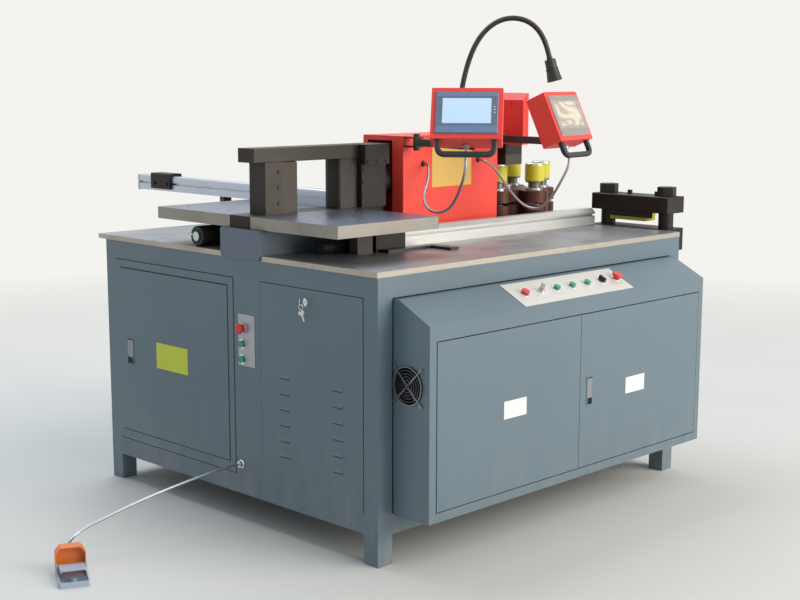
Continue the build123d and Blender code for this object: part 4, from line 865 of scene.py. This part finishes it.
def make_conduits():
    """The ribbed conduits of both operator panels, which bend with the arms, and of the pedal."""
    for side, number, route in (("left", 0, left_route), ("right", 1, right_route)):
        x, y, z = conduit_mouths[number]
        points = [(x, y, z), (x, y - first_run, z)] + route
        points += [gland_point(number, 46), gland_point(number, 14)]
        line = line_of(spline_of(points))
        hose, length = ribbed_hose(f"{side}_flexible_conduit", line, conduit_radius / 1000,
                                   rib_pitch, rib_groove)
        hose.data.materials.append(conduit_steel)
        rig.replaces(hose, f"{side}_conduit")
        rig.blend(hose, "machine", f"{side}_arm", start=line[0], end=line[-1])
        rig.cord(hose, exit=line[0], length=length, diameter=2 * conduit_radius / 1000,
                far_end="object", stiffness="medium", lay="hanging", path=line)
    gland_height = 62
    exits = [(*pedal_point(reach, gland_height).xy, gland_height) for reach in (88, 116)]
    line = line_of(spline_of(exits + pedal_route))
    hose, length = ribbed_hose("pedal_flexible_conduit", line, pedal_conduit_radius / 1000,
                               rib_pitch, rib_groove)
    hose.data.materials.append(conduit_steel)
    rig.replaces(hose, "pedal_conduit")
    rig.ride(hose, "machine")
    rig.cord(hose, exit=line[-1], length=length, diameter=2 * pedal_conduit_radius / 1000,
            far_end="object", stiffness="stiff", lay="loose", path=line[::-1])


make_conduits()


# Pieces that the CAD leaves to the looks

def slab(name, middle, across, up, size, rounding, finish, body, thick=0.8):
    """A thin plate with rounded corners, its back at the middle point, sized in millimetres."""
    out = across.cross(up)
    sheet = bmesh.new()
    box = Matrix.Diagonal((size[0] / 1000, size[1] / 1000, thick / 1000, 1))
    bmesh.ops.create_cube(sheet, size=1, matrix=box)
    standing = [e for e in sheet.edges if abs((e.verts[0].co - e.verts[1].co).normalized().z) > 0.9]
    bmesh.ops.bevel(sheet, geom=standing, offset=rounding / 1000, segments=4, profile=0.5,
                    affect="EDGES", material=-1)
    rim = [e for e in sheet.edges if all(v.co.z > 0 for v in e.verts) and len(e.link_faces) == 2]
    bmesh.ops.bevel(sheet, geom=rim, offset=min(0.25, thick / 3) / 1000, segments=1, profile=0.5,
                    affect="EDGES", material=-1)
    place = Matrix((across, up, out)).transposed().to_4x4()
    place.translation = at(*middle) + out * thick / 2000
    bmesh.ops.transform(sheet, verts=sheet.verts, matrix=place)
    plate = finished(name, sheet)
    plate.data.materials.append(finish)
    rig.ride(plate, body)
    return plate


def spun(name, profile, place, finish, body, angle=35, count=40):
    """A turned piece: the (radius, height) profile in millimetres is spun about the place's Z."""
    turned = bmesh.new()
    corners = [turned.verts.new((radius / 1000, 0, height / 1000)) for radius, height in profile]
    edges = [turned.edges.new(pair) for pair in zip(corners, corners[1:])]
    bmesh.ops.spin(turned, geom=corners + edges, cent=(0, 0, 0), axis=(0, 0, 1), angle=2 * pi,
                   steps=count, use_merge=True)
    bmesh.ops.transform(turned, verts=turned.verts, matrix=place)
    piece = finished(name, turned, smooth=True, angle=angle)
    piece.data.materials.append(finish)
    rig.ride(piece, body)


def make_lamp():
    """Ribbed neck on its flange and boot, and the stepped head with its lens."""
    side = Vector((cos(lamp_turn), sin(lamp_turn), 0))
    route = [Vector(lamp_foot) + side * reach + Vector((0, 0, rise)) for reach, rise in lamp_route]
    line = line_of(spline_of([tuple(point) for point in route]))
    neck, _ = ribbed_hose("lamp_neck", line, radius=0.0094, pitch=0.0042, groove=0.0003)
    neck.data.materials.append(black_plastic)
    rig.replaces(neck, "lamp")
    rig.ride(neck, "machine")
    foot = Matrix.Translation(at(*lamp_foot))
    spun("lamp_boot", [(0, 0), (24, 0), (24, 4.5), (22.5, 6), (14, 6.5), (13.6, 20), (11, 25),
                       (9.6, 26), (0, 26)], foot, black_plastic, "machine")
    head_tilt, head_reach, head_rise = radians(14.5), 317, 264
    down = side * sin(head_tilt) - Vector((0, 0, cos(head_tilt)))
    head_place = Vector(lamp_foot) + side * head_reach + Vector((0, 0, head_rise))
    head = frame_at(at(*head_place), down, side)
    spun("lamp_head", [(0, 0), (10.5, 0), (11, 1), (11, 7), (19, 8.5), (20, 11), (20.4, 40),
                       (22.4, 40.6), (22.9, 43), (22.4, 45.4), (21.6, 46), (26.4, 80), (27, 81),
                       (27, 84.5), (26, 85.5), (24, 85.5), (22.5, 79), (0, 79)],
         head, black_plastic, "machine")
    spun("lamp_lens", [(0, 79.2), (21.8, 79.2), (22.2, 80.4), (14, 82.4), (0, 83.2)], head,
         lens_white, "machine")


make_lamp()


def make_spare_key():
    """A wire ring through the bow of the key in the lock, and the second key that hangs on it."""
    ring = bmesh.new()
    ring_radius, wire_radius = 0.0088, 0.0009
    section = Matrix.Translation((ring_radius, 0, 0)) @ Matrix.Rotation(pi / 2, 4, "X")
    bmesh.ops.create_circle(ring, segments=10, radius=wire_radius, matrix=section)
    bmesh.ops.spin(ring, geom=list(ring.verts) + list(ring.edges), cent=(0, 0, 0), axis=(0, 0, 1),
                   angle=2 * pi, steps=32, use_merge=True)
    hung = frame_at(at(-21, lock_middle[0], 736), Vector((1, 0, 0)), Vector((0, 0, 1)))
    bmesh.ops.transform(ring, verts=ring.verts, matrix=hung)
    wire = finished("key_ring", ring, smooth=True)
    wire.data.materials.append(chrome)
    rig.ride(wire, "vent_lock")
    out = Vector((-0.72, -0.66, 0.2)).normalized()
    down = Vector((0.30, -0.16, -0.94))
    down = (down - out * down.dot(out)).normalized()
    place = Matrix((down.cross(out), down, out)).transposed().to_4x4()
    place.translation = at(-21.5, lock_middle[0], 724)
    key = bmesh.new()
    bow = Matrix.Translation((0, 0.0052, 0)) @ Matrix.Diagonal((1, 0.86, 1, 1))
    bmesh.ops.create_circle(key, segments=24, radius=0.0088, matrix=bow)
    bmesh.ops.create_circle(key, segments=24, radius=0.0024)
    bmesh.ops.bridge_loops(key, edges=list(key.edges))
    blade = [key.verts.new((x / 1000, y / 1000, 0)) for x, y in
             ((-2.6, 12.3), (2.6, 12.3), (2.6, 31), (1.4, 33), (-0.6, 33), (-1.4, 30), (-0.9, 27),
              (-2.2, 24), (-1.2, 21), (-2.6, 18))]
    key.faces.new(blade)
    bmesh.ops.solidify(key, geom=list(key.faces), thickness=0.0016)
    bmesh.ops.transform(key, verts=key.verts, matrix=place)
    spare = finished("spare_key", key)
    spare.data.materials.append(bright)
    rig.ride(spare, "vent_lock")


make_spare_key()


def make_roller_end():
    """The pale disc on the boss of the far roller's end, and the small green lamp beside it."""
    sideways = Matrix.Rotation(-pi / 2, 4, "Y")
    spun("roller_end_disc", [(0, 0), (15, 0), (15, 0.6), (12, 1.4), (0, 1.8)],
         Matrix.Translation(at(9, 850, 900)) @ sideways, white_card, "machine")
    spun("roller_end_lamp", [(0, 0), (3.4, 0), (3.2, 2), (2, 3), (0, 3.4)],
         Matrix.Translation(at(12, 873, 905)) @ sideways, led_green, "machine", count=20)


make_roller_end()

toward_left = Vector((0, -1, 0))
upward = Vector((0, 0, 1))
toward_right = Vector((1, 0, 0))
slab("tool_door_plate", (-4.1, 980, 480), toward_left, upward, (174, 88), 2, yellow_plate,
     "tool_door")
slab("cover_plate", (857, 512.9, 1104), toward_right, upward, (200, 135), 2, amber_plate, "machine")
for side, x, z in (("left", 434, 430), ("right", 1045, 411)):
    slab(f"front_card_{side}", (x, -145.1, z), toward_right, upward, (104, 54), 1.5, white_card,
         f"front_door_{side}", 0.5)


def make_louvre_shadow_strips():
    """A dark strip under each pressed louvre of the vent panel: painted shadow under the louvre's lip, which also
    stands for its sheared slit.
    """
    highest, pitch = 499.6, 49.4
    for column in (168, 407):
        for row in range(6):
            # Each dark strip is painted shadow under a louvre's lip.
            slab(f"louvre_slit_{column}_{row + 1}", (-1, column, highest - pitch * row),
                 toward_left, upward, (43, 4.4), 1.2, black_paint, "vent_panel", 0.3)


make_louvre_shadow_strips()


def lit_screen(name, tone, shadow, lines):
    """A lit screen: an even pale tone, darker towards its foot, with faint wandering lines."""
    made = bpy.data.materials.new(name)
    made.use_nodes = True
    tree = made.node_tree
    shader = tree.nodes["Principled BSDF"]
    flat = tree.nodes.new("ShaderNodeUVMap")
    flat.uv_map = "face"
    split = tree.nodes.new("ShaderNodeSeparateXYZ")
    tree.links.new(flat.outputs[0], split.inputs[0])
    even = mixed(tree, spread(tree, split.outputs["Y"], 0.0, 0.9, 0.25, 0.0), tone, shadow)
    hills = noise(tree, flat.outputs[0], 1.5, 0.0)
    bands = math(tree, "FRACT", math(tree, "MULTIPLY", hills, 4.0))
    centred = math(tree, "ABSOLUTE", math(tree, "SUBTRACT", bands, 0.5))
    line = spread(tree, centred, 0.0, 0.3, lines, 0.0)
    drawn = mixed(tree, line, even, shade(120, 108, 92))
    tree.links.new(drawn, shader.inputs["Base Color"])
    tree.links.new(drawn, shader.inputs["Emission Color"])
    shader.inputs["Emission Strength"].default_value = 0.36
    shader.inputs["Roughness"].default_value = 0.16
    return made


blue_screen = lit_screen("blue_screen", shade(190, 214, 240), shade(168, 196, 226), 0.0)
cream_screen = lit_screen("cream_screen", shade(196, 187, 170), shade(182, 172, 156), 0.6)


def make_screens():
    """The screen of each panel, the two lighter strips of its bezel and three small lamps."""
    looks = (("left", blue_screen, strip_blue), ("right", cream_screen, strip_grey))
    screen_size = (152.4, 85.4)
    screen_bed, bezel_face = 4.05, 5.0
    for number, (side, screen, strip) in enumerate(looks):
        heart, across, up, out = panel_axes(number)
        spot = heart + out * screen_bed + up * 6
        glass = slab(f"{side}_screen", spot, across, up, screen_size, 1.5, screen, f"{side}_arm",
                     0.7)
        layer = glass.data.uv_layers.new(name="face")
        for loop in glass.data.loops:
            place = (glass.data.vertices[loop.vertex_index].co - at(*spot)) * 1000
            layer.data[loop.index].uv = (place.dot(across) / screen_size[0] + 0.5,
                                         place.dot(up) / screen_size[1] + 0.5)
        for label, rise, height in (("top", 61, 13), ("foot", -57, 22)):
            slab(f"{side}_bezel_{label}_strip", heart + out * bezel_face + up * rise, across, up,
                 (189, height), 2.5, strip, f"{side}_arm", 0.5)
        for count in range(3):
            middle = at(*(heart + across * 86.5 + up * (19 - 9.5 * count) + out * bezel_face))
            spun(f"{side}_panel_lamp_{count + 1}", [(0, 0), (2.1, 0), (1.8, 0.5), (0, 0.7)],
                 frame_at(middle, out, across), lens_white, f"{side}_arm", count=16)


make_screens()


# Room and light

backdrop = shade(244, 243, 239)


def seen_directly(tree):
    """1 for camera, glass and mirror rays, for which floor and sky are the pale backdrop."""
    path = tree.nodes.new("ShaderNodeLightPath")
    either = math(tree, "MAXIMUM", path.outputs["Is Camera Ray"],
                  path.outputs["Is Transmission Ray"])
    return math(tree, "MAXIMUM", either, path.outputs["Is Glossy Ray"])


def make_floor():
    """A wide pale floor, which fades to the plain backdrop away from the machine."""
    floor = bmesh.new()
    bmesh.ops.create_grid(floor, x_segments=1, y_segments=1, size=30)
    ground = finished("floor", floor)
    made = bpy.data.materials.new("pale_floor")
    made.use_nodes = True
    tree = made.node_tree
    shader = tree.nodes["Principled BSDF"]
    place = tree.nodes.new("ShaderNodeTexCoord").outputs["Object"]
    tone = mixed(tree, noise(tree, place, 1.1, 5), shade(212, 209, 203), shade(222, 219, 214))
    tree.links.new(tone, shader.inputs["Base Color"])
    shader.inputs["Roughness"].default_value = 0.8
    plain = linked(tree, "ShaderNodeEmission", Color=backdrop)
    reach = tree.nodes.new("ShaderNodeVectorMath")
    reach.operation = "LENGTH"
    tree.links.new(place, reach.inputs[0])
    meet = tree.nodes.new("ShaderNodeMixShader")
    fade = spread(tree, reach.outputs["Value"], 2.6, 6.5)
    tree.links.new(math(tree, "MULTIPLY", fade, seen_directly(tree)), meet.inputs[0])
    tree.links.new(shader.outputs[0], meet.inputs[1])
    tree.links.new(plain.outputs[0], meet.inputs[2])
    tree.links.new(meet.outputs[0], tree.nodes["Material Output"].inputs["Surface"])
    ground.data.materials.append(made)
    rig.stage(ground)


def make_sky():
    """Cool light from everywhere, seen directly as the backdrop."""
    world = bpy.data.worlds.new("sky")
    bpy.context.scene.world = world
    world.use_nodes = True
    sky = world.node_tree
    light = sky.nodes["Background"]
    light.inputs["Color"].default_value = (0.78, 0.90, 1.0, 1)
    light.inputs["Strength"].default_value = 0.44
    seen = sky.nodes.new("ShaderNodeBackground")
    seen.inputs["Color"].default_value = backdrop
    seen.inputs["Strength"].default_value = 1.0
    blend = sky.nodes.new("ShaderNodeMixShader")
    sky.links.new(seen_directly(sky), blend.inputs[0])
    sky.links.new(light.outputs[0], blend.inputs[1])
    sky.links.new(seen.outputs[0], blend.inputs[2])
    sky.links.new(blend.outputs[0], sky.nodes["World Output"].inputs["Surface"])


def area_light(name, place, aim, size, power, colour):
    """A rectangular lamp at a place in metres, aimed at another."""
    lamp = bpy.data.lights.new(name, "AREA")
    lamp.shape = "RECTANGLE"
    lamp.size, lamp.size_y = size
    lamp.energy = power
    lamp.color = colour
    thing = bpy.data.objects.new(name, lamp)
    ahead = (Vector(aim) - Vector(place)).normalized()
    turn = ahead.to_track_quat("-Z", "Y").to_matrix().to_4x4()
    thing.matrix_world = Matrix.Translation(place) @ turn
    bpy.context.scene.collection.objects.link(thing)


def wide_sun(name, direction, strength, angle, colour):
    """A soft distant lamp that shines along the direction."""
    lamp = bpy.data.lights.new(name, "SUN")
    lamp.energy = strength
    lamp.angle = radians(angle)
    lamp.color = colour
    thing = bpy.data.objects.new(name, lamp)
    thing.matrix_world = Vector(direction).to_track_quat("-Z", "Y").to_matrix().to_4x4()
    bpy.context.scene.collection.objects.link(thing)


make_floor()
make_sky()
wide_sun("front_sun", (-0.25, 0.72, -0.70), 0.95, 45, (1.0, 0.975, 0.94))
area_light("front_light", (3.2, -5.0, 2.2), (0.9, 0.3, 0.7), (4.8, 3.0), 245, (1.0, 0.93, 0.84))
area_light("high_light", (0.9, 2.6, 4.6), (0.7, 0.6, 0.6), (3.6, 3.0), 135, (0.83, 0.92, 1.0))

bpy.context.scene.view_settings.view_transform = "Standard"

low, high = cad_box
new_low, new_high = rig.bounds()
with open("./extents.json", "w") as note:
    json.dump({"cad": [list(low), list(high)], "visual": [list(new_low), list(new_high)]}, note)
